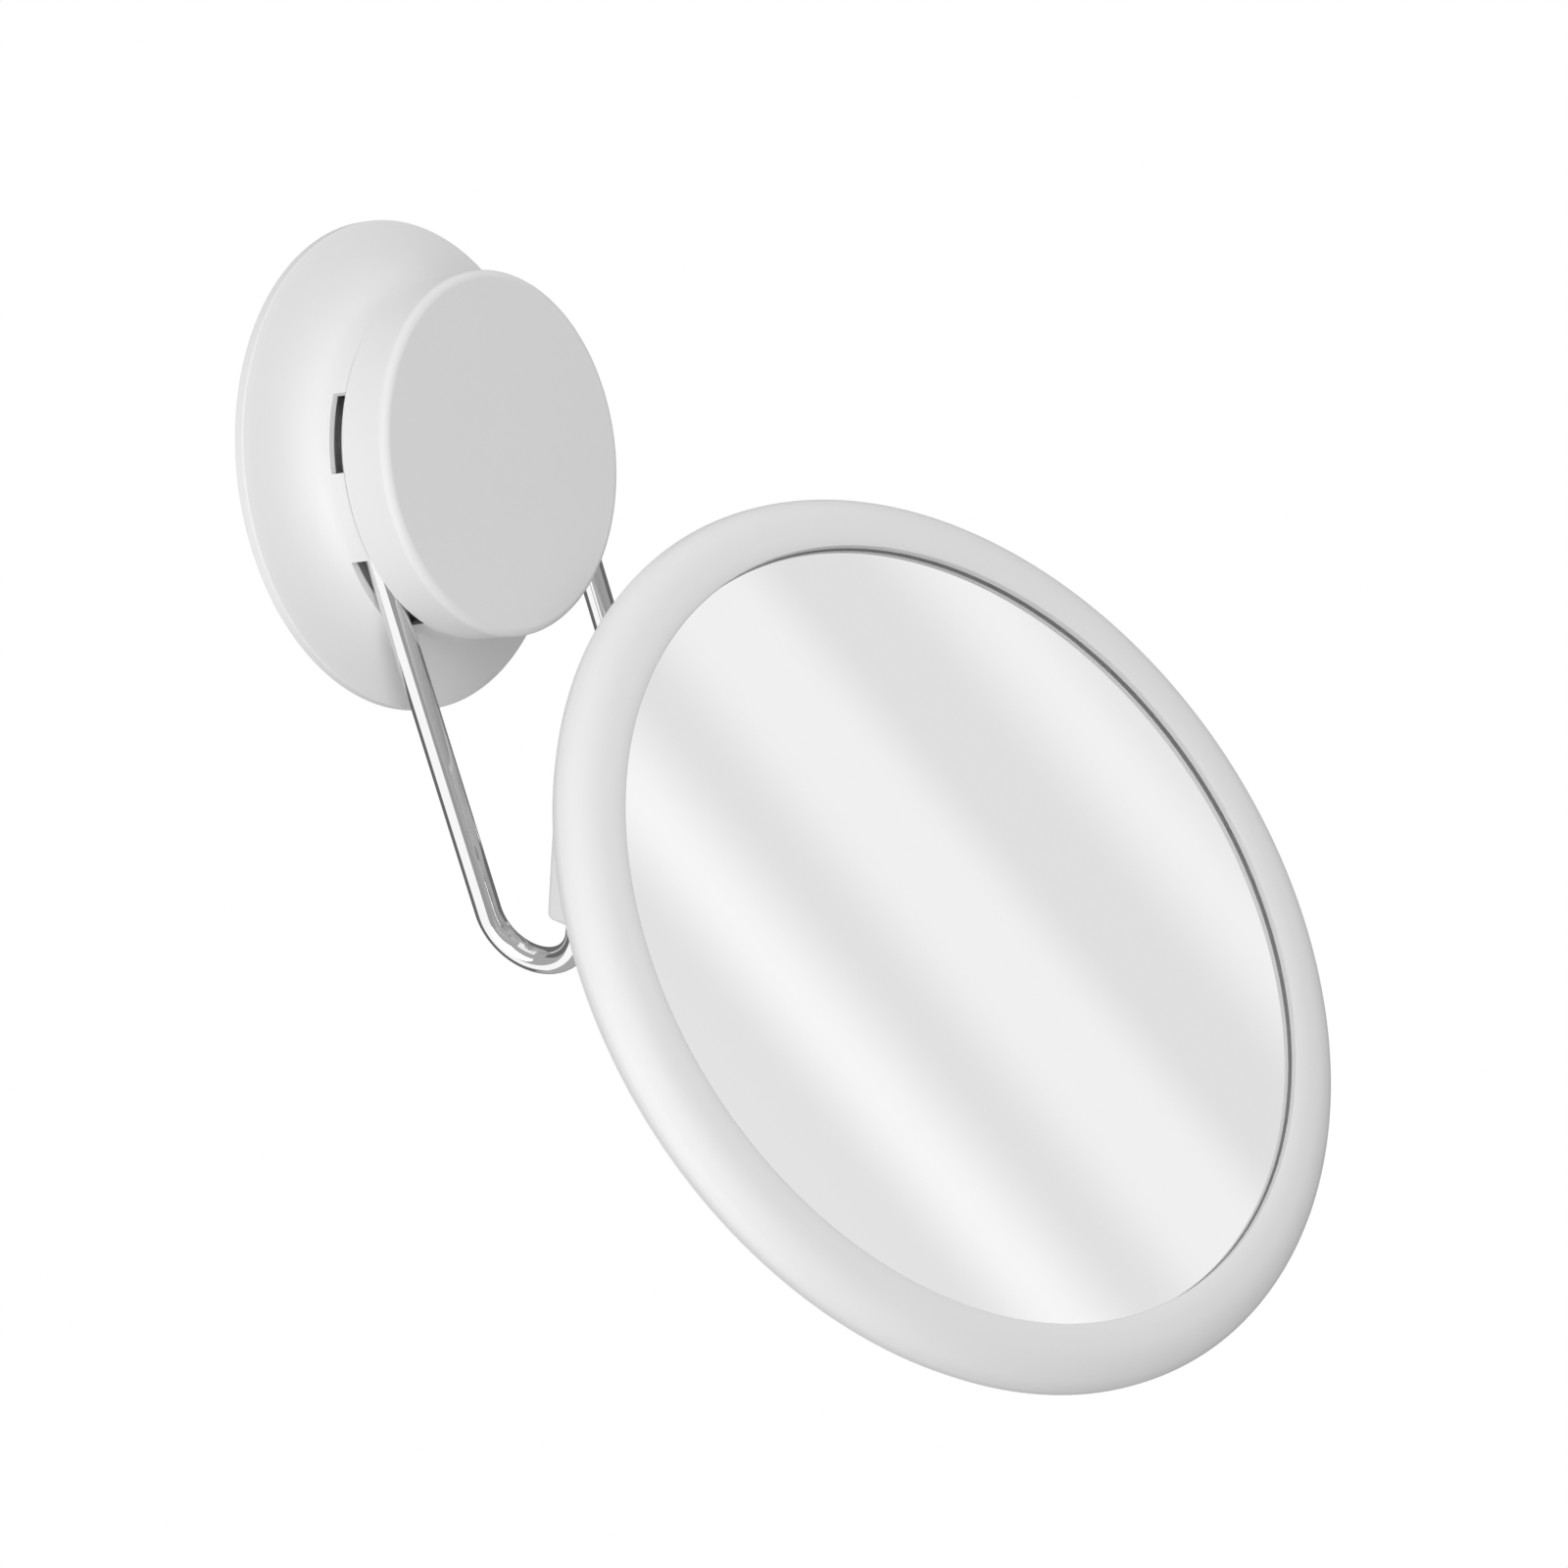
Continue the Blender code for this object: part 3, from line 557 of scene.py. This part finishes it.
def wire_arm():
    """Arch in the base, two leaning legs and a hook at the foot of each."""
    leg = unit(-90.0 - LEG_LEAN)
    hook_up = HOOK_BOTTOM + HOOK_R
    hook = Vector((ARCH_OUT + leg.x / leg.y * hook_up + HOOK_R / -leg.y, hook_up))
    straight = hook + HOOK_R * unit(HOOK_END_ANGLE - 90.0)
    end = straight + WIRE_IN_BLOCK * unit(HOOK_END_ANGLE)
    side = [end, end.lerp(straight, 0.5)]
    side += arc(hook, HOOK_R, HOOK_END_ANGLE - 90.0, -180.0 - LEG_LEAN, 40)
    foot = side[-1]
    shoulder = Vector((ARCH_OUT, 0.0)) + 6.0 * leg
    side += [foot.lerp(shoulder, i / 8) for i in range(1, 9)]
    bend = eased([shoulder, Vector((ARCH_OUT, 0.0)) + 0.12 * unit(-170), Vector((ARCH_OUT, 6.0))], 6)
    left = [(-LEG_X, up, out) for out, up in side] + [(-LEG_X, up, out) for out, up in bend[1:7]]
    arch = []
    for i in range(3, 58):
        d = LEG_X * unit(180.0 - 3.0 * i)
        arch.append((d.x, d.y, ARCH_OUT))
    right = [(-x, up, out) for x, up, out in reversed(left)]
    arm = wire("arm", left + arch + right, WIRE_R, BASE, "chrome", 40)
    return stands_for(arm, "wire_arm", flatten=False)


# ---------------------------------------------------------------- fasteners


def cross_recess(place, depth, reach):
    """Cutter for a cross recess whose mouth is at local z 0, sunk towards -z."""
    arms = []
    for turn in (0.0, 90.0):
        work = bmesh.new()
        bmesh.ops.create_cube(work, size=1.0)
        for vert in work.verts:
            taper = 1.0 if vert.co.z > 0 else 0.45
            vert.co = (vert.co.x * 2.0 * reach * taper, vert.co.y * 0.62, vert.co.z * depth * 2.0)
        bmesh.ops.rotate(work, verts=work.verts, matrix=Matrix.Rotation(math.radians(turn), 3, "Z"))
        arms.append(finished("recess", work, place, None))
    return combine(arms[0], arms[1], "UNION")


def facing(place, at, along):
    """The place moved to a local point, with its local z turned along a local direction."""
    turn = Vector((0.0, 0.0, 1.0)).rotation_difference(Vector(along)).to_matrix().to_4x4()
    return place @ Matrix.Translation(at) @ turn


def pan_screw(name, place, head_r, head_h, shank_r, length):
    """Pan-head screw: its seat is local z 0, the head stands on +z and the thread runs to -z."""
    profile = [(0.0, head_h)] + [
        (head_r * math.sin(a), head_h * (0.35 + 0.65 * math.cos(a) ** 0.8))
        for a in (math.radians(15.0 * i) for i in range(1, 6))
    ]
    profile += [(head_r, head_h * 0.3), (head_r, 0.0), (shank_r, 0.0)]
    pitch = 0.9
    depth = 0.16
    for i in range(int((length - shank_r) / pitch)):
        top = -i * pitch
        profile += [
            (shank_r - depth, top - 0.1), (shank_r - depth, top - pitch * 0.45),
            (shank_r, top - pitch * 0.7), (shank_r, top - pitch * 0.85),
        ]
    profile.append((0.0, -length))
    screw = turned(name, profile, place, "steel", SMALL_STEPS, closed=False)
    mouth = place @ Matrix.Translation((0.0, 0.0, head_h + 0.02))
    return combine(screw, cross_recess(mouth, head_h * 0.75, head_r * 0.55))


def hex_nut(name, place, corner_r, hole_r, height):
    """Chamfered nut standing on local z 0."""
    body = slab(name, [corner_r * unit(60.0 * i) for i in range(6)], 0.0, height, place, "steel", along="z")
    slope = height * 0.16
    flat_r, past_r = corner_r * 0.87, corner_r + 0.02
    chamfer = [
        (0.0, 0.0), (flat_r, 0.0), (past_r, slope), (past_r, height - slope), (flat_r, height), (0.0, height),
    ]
    combine(body, turned("chamfer", chamfer, place, None, SMALL_STEPS, closed=False), "INTERSECT")
    return combine(body, rod("bore", hole_r, -1.0, height + 1.0, place, None, along="z"))


def bolt(name, place, head_r, head_h, radius, length):
    """Round-head bolt: the head stands on +z of its seat and the rod runs to -z."""
    profile = [(0.0, head_h)] + filleted(
        [(0.0, head_h, 0), (head_r, head_h, head_h * 0.5), (head_r, 0.0, 0), (radius, 0.0, 0)],
        closed=False,
        steps=6,
    )[1:]
    profile += [(radius, -length + 0.4), (radius - 0.4, -length), (0.0, -length)]
    made = turned(name, profile, place, "steel", SMALL_STEPS, closed=False)
    mouth = place @ Matrix.Translation((0.0, 0.0, head_h + 0.02))
    return combine(made, cross_recess(mouth, head_h * 0.65, head_r * 0.55))


# ---------------------------------------------------------------- knuckle and link


def knuckle():
    """Moulded block on both wire ends, open in its middle for the link's barrel."""
    back, foot = -BLOCK_BEHIND_HINGE, -BLOCK_BELOW_HINGE
    corners = [
        (back, 0.0, 0), (back, foot, 1.4), (3.6, foot, 1.4), (BARREL_R, -4.0, 3.0), (BARREL_R, 0.0, 0),
    ]
    outline = filleted(corners, closed=False, steps=5)
    outline += arc((0, 0), BARREL_R, 0.0, 90.0, 14)[1:]
    outline += arc((back + 2.0, BARREL_R - 2.0), 2.0, 90.0, 180.0, 8)
    made = slab(
        "knuckle", outline, -BLOCK_HALF_X, BLOCK_HALF_X, KNUCKLE, "white_plastic", bevel=1.1, segments=4
    )
    for up, out in ((-25.0, -2.0), (-6.2, -10.0)):
        combine(made, box_cutter((-EAR_INNER_X, up, out), (EAR_INNER_X, 10.0, 10.0), KNUCKLE))
    for side in (-1, 1):
        across = facing(KNUCKLE, (side * LEG_X, -WIRE_END_TO_HINGE, -WIRE_BEHIND_HINGE), (0.0, 1.0, 0.0))
        combine(made, rod("hole", WIRE_R + 0.15, 0.0, WIRE_IN_BLOCK + 0.3, across, None, along="z"))
        combine(made, rod("hole", 1.4, -8.0, GRUB_TIP + 1.0, KNUCKLE, None, (side * LEG_X, GRUB_UP), "z"))
        ends = sorted((side * (BLOCK_HALF_X - 3.0), side * (BLOCK_HALF_X + 2.0)))
        combine(made, rod("counterbore", 3.3, *ends, KNUCKLE, None))
    combine(made, rod("pin_hole", PIN_HOLE_R, -40.0, 40.0, KNUCKLE, None))
    stands_for(made, "knuckle_block")
    head_seat = -BLOCK_HALF_X + 2.6
    place = facing(KNUCKLE, (head_seat, 0.0, 0.0), (-1.0, 0.0, 0.0))
    stands_for(bolt("pivot_bolt", place, 2.9, 1.9, PIN_R, 31.0 - head_seat), "link_bolt")
    place = facing(KNUCKLE, (29.3, 0.0, 0.0), (1.0, 0.0, 0.0))
    stands_for(hex_nut("pivot_nut", place, 2.9, PIN_HOLE_R, 1.7), "link_nut")
    for side, label in ((-1, "left"), (1, "right")):
        grub(f"grub_{label}", side, f"grub_screw_{label}")


def grub(name, side, node):
    """Set screw with a hexagon socket."""
    place = facing(KNUCKLE, (side * LEG_X, GRUB_UP, GRUB_TIP - 0.1), (0.0, 0.0, -1.0))
    profile = [(0.0, 0.0), (0.8, 0.0), (1.2, 0.4), (1.2, 2.0), (1.0, 2.2), (0.0, 2.2)]
    made = turned(name, profile, place, "steel", SMALL_STEPS, closed=False)
    socket = slab("socket", [0.72 * unit(60.0 * i) for i in range(6)], 1.0, 3.0, place, None, along="z")
    stands_for(combine(made, socket), node)


def link():
    """Flat arm with a barrel at each end."""
    spread = math.degrees(math.asin(LINK_HALF_THICK / BARREL_R))
    end = (0.0, -LINK_LENGTH)
    outline = arc((0, 0), BARREL_R, -90.0 + spread, 270.0 - spread, 40)
    outline += arc(end, BARREL_R, 90.0 + spread, 450.0 - spread, 40)
    arm = slab("link", outline, -LINK_HALF_X, LINK_HALF_X, LINK, "white_plastic", bevel=0.9, segments=4)
    for face in (-1, 1):
        recess(arm, face)
    for at in ((0.0, 0.0), end):
        combine(arm, rod("bore", PIN_HOLE_R, -20.0, 20.0, LINK, None, at))
    stands_for(arm, "extension_link")


def recess(arm, face):
    """Shallow moulded recess in one face of the link, with a rib left along its middle."""
    depth = 0.9
    low, high = sorted((face * (LINK_HALF_THICK - depth), face * (LINK_HALF_THICK + 2.0)))
    top, foot = -BARREL_R - 5.0, -LINK_LENGTH + BARREL_R + 5.0
    for left, right in ((-8.2, -0.9), (0.9, 8.2)):
        corners = [(left, foot, 1.6), (right, foot, 1.6), (right, top, 1.6), (left, top, 1.6)]
        combine(arm, slab("recess_cutter", filleted(corners, steps=5), low, high, LINK, None, along="z"))


# ---------------------------------------------------------------- mirror


def bezel():
    """Convex ring with a small inner lip, rebated behind for the glass."""
    crown = eased(
        [
            (LIP_R + 0.35, 0.02), (77.6, 0.28), (79.4, 0.4), (82.4, 0.1), (84.9, -0.95), (86.7, -2.7),
            (BEZEL_R, -4.9), (87.35, -6.6),
        ],
        8,
    )
    back = [
        (87.1, -6.9),
        (84.2, -6.9),
        (84.2, -6.0),
        (GLASS_R + 0.3, -6.0),
        (GLASS_R + 0.3, GLASS_FRONT + 0.1),
        (LIP_R + 1.0, GLASS_FRONT + 0.1),
        (LIP_R + 1.0, -1.25),
        (LIP_R, -1.25),
        (LIP_R, -0.3),
        (LIP_R + 0.12, -0.08),
    ]
    return stands_for(turned("bezel", crown + back, MIRROR, "white_plastic", RIM_STEPS), "mirror_bezel")


def glass():
    """Silvered disc: polished front, ground edge and painted back."""
    edge = filleted(
        [
            (0.0, GLASS_FRONT, 0), (GLASS_R, GLASS_FRONT, 0.4), (GLASS_R, GLASS_BACK, 0.2),
            (0.0, GLASS_BACK, 0),
        ],
        closed=False,
        steps=3,
    )
    disc = turned("glass", edge, MIRROR, "mirror_silver", RIM_STEPS, closed=False, sharp_deg=10.0)
    disc.data.materials.append(MATERIALS["mirror_paint"])
    for face in disc.data.polygons:
        if face.normal.dot(MIRROR_NORMAL) < -0.9:
            face.material_index = 1
    stands_for(disc, "mirror_glass")


def back_cover():
    """Shallow dished cover with a raised centre land and four screw bosses."""
    edge = filleted(
        [(83.4, -7.2, 0), (86.6, -7.2, 0.2), (86.3, -8.4, 0.6), (83.4, -10.2, 0)], closed=False
    )
    outer = edge[1:-1]
    outer += eased([(83.4, -10.2), (80.0, -11.3), (76.0, -12.2), (68.0, -13.1), (62.0, -13.5)], 6)
    groove = filleted(
        [
            (62.0, -13.5, 0), (60.0, -13.6, 0.3), (59.5, -13.0, 0.3), (58.5, -13.0, 0.3),
            (58.0, -13.7, 0.3), (42.0, SHELL_BACK, 0),
        ],
        closed=False,
    )[1:]
    inner = [
        (0.0, -12.0), (59.0, -11.6), (59.0, -6.1), (61.0, -6.1), (61.0, -11.4), (75.4, -10.1),
        (82.2, -8.6), (83.6, -7.2),
    ]
    profile = inner + outer + groove + [(0.0, SHELL_BACK)]
    cover = turned("back_cover", profile, MIRROR, "white_plastic", RIM_STEPS, closed=False)
    for at in BRACKET_SCREWS:
        combine(cover, rod("boss", 3.2, -12.6, -7.4, MIRROR, None, at, "z"), "UNION")
    for at in BRACKET_SCREWS:
        combine(cover, rod("hole", SCREW_HOLE_R, -20.0, -5.0, MIRROR, None, at, "z"))
    stands_for(cover, "rear_shell")


def bracket():
    """Plate on the cover's back with two ears round the link's barrel."""
    lift = HINGE_BEHIND_LIP
    front, back, foot = SHELL_BACK - 0.3 + lift, PLATE_BACK + lift, 9.5
    hinge = MIRROR @ Matrix.Translation((0.0, 0.0, -lift))
    outline = filleted(
        [(front, -PLATE_HALF_V, 0), (front, PLATE_HALF_V, 0), (back, PLATE_HALF_V, 1.0), (back, foot, 0)],
        closed=False,
    )
    outline += arc((0, 0), 5.2, 120.0, 240.0, 24)
    lower = [(back, -foot, 0), (back, -PLATE_HALF_V, 1.0), (front, -PLATE_HALF_V, 0)]
    outline += filleted(lower, closed=False)[:-1]
    made = slab("bracket", outline, -BRACKET_HALF_X, BRACKET_HALF_X, hinge, "white_plastic", bevel=0.6)
    combine(made, box_cutter((-EAR_INNER_X, -30.0, -20.0), (EAR_INNER_X, 30.0, back), hinge))
    combine(made, rod("bore", PIN_HOLE_R, -30.0, 30.0, hinge, None))
    for index, at in enumerate(BRACKET_SCREWS):
        combine(made, rod("hole", SCREW_HOLE_R, back - 2.0, front + 2.0, hinge, None, at, "z"))
        seat = facing(hinge, (*at, back - 0.3), (0.0, 0.0, -1.0))
        screw = pan_screw(f"cover_screw_{index + 1}", seat, 2.7, 1.5, 1.15, 8.5)
        stands_for(screw, f"bracket_screw_{index + 1}")
    stands_for(made, "hinge_bracket")
    face = BRACKET_HALF_X + 0.3
    seat = facing(hinge, (-face, 0.0, 0.0), (-1.0, 0.0, 0.0))
    stands_for(bolt("tilt_pivot", seat, 3.4, 1.6, PIN_R, 2.0 * face + 2.6), "tilt_bolt")
    seat = facing(hinge, (face, 0.0, 0.0), (1.0, 0.0, 0.0))
    stands_for(hex_nut("tilt_pivot_nut", seat, 3.5, PIN_HOLE_R, 2.2), "tilt_nut")


# ---------------------------------------------------------------- studio

# Lengths in metres and angles in degrees. Azimuth is from straight in front of the wall towards +X.
CAMERA_AZIMUTH = -49.52
CAMERA_ELEVATION = 20.50
CAMERA_ROLL = 21.76
CAMERA_DISTANCE = 1.609
LENS = 202.5
AIM = Vector((0.0074, -0.0519, -0.0751))

# Azimuth and elevation from the object, distance, size, power, and whether shiny surfaces show it.
LIGHTS = {
    "left": (-95.0, 8.0, 0.85, 0.7, 2.6, True),
    "front_left": (-34.0, 26.0, 1.6, 1.2, 9.2, False),
    "top": (0.0, 85.0, 1.6, 1.4, 3.2, True),
    "right": (95.0, 35.0, 1.6, 1.2, 5.4, False),
    "front_right": (45.0, 40.0, 1.8, 1.2, 1.0, False),
}
WORLD_LEVEL = 0.53

# What the chrome shows round the object: start and end azimuth, height of the upper edge, brightness.
SURROUND = (
    (-150.0, -73.0, -0.25, 1.05),
    (-73.0, -20.0, -0.25, 0.36),
    (-20.0, 75.0, -0.25, 0.15),
    (75.0, 210.0, 1.6, 0.15),
)
SURROUND_R = 1.9
SURROUND_FOOT = -1.8
SURROUND_STEP_DEG = 3.0

FLOOR_DROP = 0.35
FLOOR_SIZE = 40.0

# Brightness of the card that the glass shows, by millimetres along +X from the glass's centre. The
# card stands this many metres out and is as wide as the glass to this many millimetres off centre.
STRIPS = (
    (-70.0, 0.77), (-55.0, 0.76), (-38.0, 0.92), (-18.0, 0.75), (1.0, 0.87), (14.0, 0.87), (31.0, 0.74),
    (42.0, 0.74), (66.0, 0.88), (80.0, 0.80),
)
CARD_BEYOND = 1.0
CARD_REACH = 84.0
CARD_TALLER = 1.3


def card(name, at, facing_to, width, height, material):
    """A flat stage panel, turned from the level by this rotation."""
    corners = [(-0.5, -0.5, 0.0), (0.5, -0.5, 0.0), (0.5, 0.5, 0.0), (-0.5, 0.5, 0.0)]
    mesh = bpy.data.meshes.new(name)
    mesh.from_pydata(corners, [], [(0, 1, 2, 3)])
    mesh.materials.append(material)
    panel = bpy.data.objects.new(name, mesh)
    panel.location = at
    panel.rotation_mode = "QUATERNION"
    panel.rotation_quaternion = facing_to
    panel.scale = (width, height, 1.0)
    bpy.context.scene.collection.objects.link(panel)
    return panel


def glow(name, strength, colour=(1.0, 1.0, 1.0)):
    """A plain light-giving stage material."""
    made = bpy.data.materials.new(name)
    made.use_nodes = True
    made.node_tree.nodes.clear()
    light = made.node_tree.nodes.new("ShaderNodeEmission")
    light.inputs["Color"].default_value = (*colour, 1.0)
    light.inputs["Strength"].default_value = strength
    out = made.node_tree.nodes.new("ShaderNodeOutputMaterial")
    made.node_tree.links.new(light.outputs["Emission"], out.inputs["Surface"])
    return made


def strip_material():
    """Soft upright strips of light, as a ramp along the card's width."""
    made = glow("strips", 1.0)
    tree = made.node_tree
    light = next(n for n in tree.nodes if n.type == "EMISSION")
    where = tree.nodes.new("ShaderNodeTexCoord")
    split = tree.nodes.new("ShaderNodeSeparateXYZ")
    shift = tree.nodes.new("ShaderNodeMath")
    shift.operation = "ADD"
    shift.inputs[1].default_value = 0.5
    ramp = tree.nodes.new("ShaderNodeValToRGB")
    ramp.color_ramp.interpolation = "EASE"
    stops = ramp.color_ramp.elements
    while len(stops) > 1:
        stops.remove(stops[-1])
    for index, (at, level) in enumerate(STRIPS):
        position = 0.5 + 0.5 * at / CARD_REACH
        stop = stops[0] if index == 0 else stops.new(position)
        stop.position = position
        stop.color = (level / SILVER, level / SILVER, level / SILVER, 1.0)
    tree.links.new(where.outputs["Object"], split.inputs["Vector"])
    tree.links.new(split.outputs["X"], shift.inputs[0])
    tree.links.new(shift.outputs["Value"], ramp.inputs["Fac"])
    tree.links.new(ramp.outputs["Color"], light.inputs["Color"])
    return made


def from_target(azimuth, elevation):
    """Direction from the object to a viewer at this azimuth and elevation."""
    a, e = math.radians(azimuth), math.radians(elevation)
    return Vector((math.sin(a) * math.cos(e), -math.cos(a) * math.cos(e), math.sin(e)))


def camera():
    """The photo's viewpoint. Returns the direction from the object to the camera."""
    back = from_target(CAMERA_AZIMUTH, CAMERA_ELEVATION)
    made = bpy.data.objects.new("camera", bpy.data.cameras.new("camera"))
    bpy.context.scene.collection.objects.link(made)
    made.data.lens = LENS
    made.data.sensor_width = 36.0
    made.data.clip_start = 0.05
    made.data.clip_end = 60.0
    made.location = AIM + back * CAMERA_DISTANCE
    level = (-back).to_track_quat("-Z", "Y")
    made.rotation_mode = "QUATERNION"
    made.rotation_quaternion = Quaternion(back, math.radians(-CAMERA_ROLL)) @ level
    bpy.context.scene.camera = made
    return back


def softbox(name, azimuth, elevation, distance, size, power, shines):
    """A square area light that faces the object."""
    data = bpy.data.lights.new(name, "AREA")
    data.size = size
    data.energy = power
    lamp = bpy.data.objects.new(name, data)
    lamp.location = AIM + from_target(azimuth, elevation) * distance
    lamp.rotation_mode = "QUATERNION"
    lamp.rotation_quaternion = (AIM - lamp.location).to_track_quat("-Z", "Y")
    lamp.visible_camera = False
    lamp.visible_glossy = shines
    bpy.context.scene.collection.objects.link(lamp)


def glossy_only(panel):
    """Hides a panel from all but the rays that shiny surfaces send out."""
    panel.visible_camera = False
    panel.visible_diffuse = False
    panel.visible_transmission = False
    panel.visible_shadow = False


def surround(name, start, end, top, level):
    """A curved panel round the object, for the chrome to reflect."""
    steps = max(2, round((end - start) / SURROUND_STEP_DEG))
    ring = [SURROUND_R * from_target(start + (end - start) * i / steps, 0.0) for i in range(steps + 1)]
    points = [AIM + at + Vector((0.0, 0.0, height)) for height in (SURROUND_FOOT, top) for at in ring]
    faces = [(i, i + 1, steps + 2 + i, steps + 1 + i) for i in range(steps)]
    mesh = bpy.data.meshes.new(name)
    mesh.from_pydata(points, [], faces)
    mesh.materials.append(glow(name, level))
    panel = bpy.data.objects.new(name, mesh)
    bpy.context.scene.collection.objects.link(panel)
    glossy_only(panel)


def studio(back):
    """White floor, soft lights and the strip card that the glass reflects."""
    scene = bpy.context.scene
    scene.view_settings.view_transform = "Standard"
    world = bpy.data.worlds.new("world")
    scene.world = world
    world.use_nodes = True
    tree = world.node_tree
    tree.nodes.clear()
    path = tree.nodes.new("ShaderNodeLightPath")
    level = tree.nodes.new("ShaderNodeMapRange")
    level.inputs["To Min"].default_value = WORLD_LEVEL
    level.inputs["To Max"].default_value = 1.0
    sky = tree.nodes.new("ShaderNodeBackground")
    out = tree.nodes.new("ShaderNodeOutputWorld")
    tree.links.new(path.outputs["Is Camera Ray"], level.inputs["Value"])
    tree.links.new(level.outputs["Result"], sky.inputs["Strength"])
    tree.links.new(sky.outputs["Background"], out.inputs["Surface"])

    under = (0.0, 0.0, cad_box[0].z - FLOOR_DROP)
    floor = card("floor", under, Quaternion(), FLOOR_SIZE, FLOOR_SIZE, glow("floor_white", 1.0))
    floor.visible_diffuse = False
    floor.visible_shadow = False
    floor.visible_glossy = False

    for name, settings in LIGHTS.items():
        softbox(name, *settings)
    for index, settings in enumerate(SURROUND):
        surround(f"surround_{index + 1}", *settings)

    strip_card(back)


def strip_card(back):
    """Card parallel to the glass, just wide enough to fill it for the camera."""
    face = MIRROR @ Vector((0.0, 0.0, GLASS_FRONT))
    bounce = 2.0 * back.dot(MIRROR_NORMAL) * MIRROR_NORMAL - back
    eye = (AIM + back * CAMERA_DISTANCE - face).dot(MIRROR_NORMAL)
    enlarged = 1.0 + CARD_BEYOND * bounce.dot(MIRROR_NORMAL) / eye
    width = 2.0 * CARD_REACH * MM * enlarged
    at = face + bounce * CARD_BEYOND
    panel = card("strip_card", at, MIRROR.to_quaternion(), width, CARD_TALLER * width, strip_material())
    glossy_only(panel)


# ---------------------------------------------------------------- build

view_back = camera()
housing()
cap()
cup()
spring()
wire_arm()
knuckle()
link()
bezel()
glass()
back_cover()
bracket()
for node, packed in NODES.items():
    finish = MATERIALS[SLOT_OF[node]]
    for slot in packed.material_slots:
        slot.material = finish
studio(view_back)
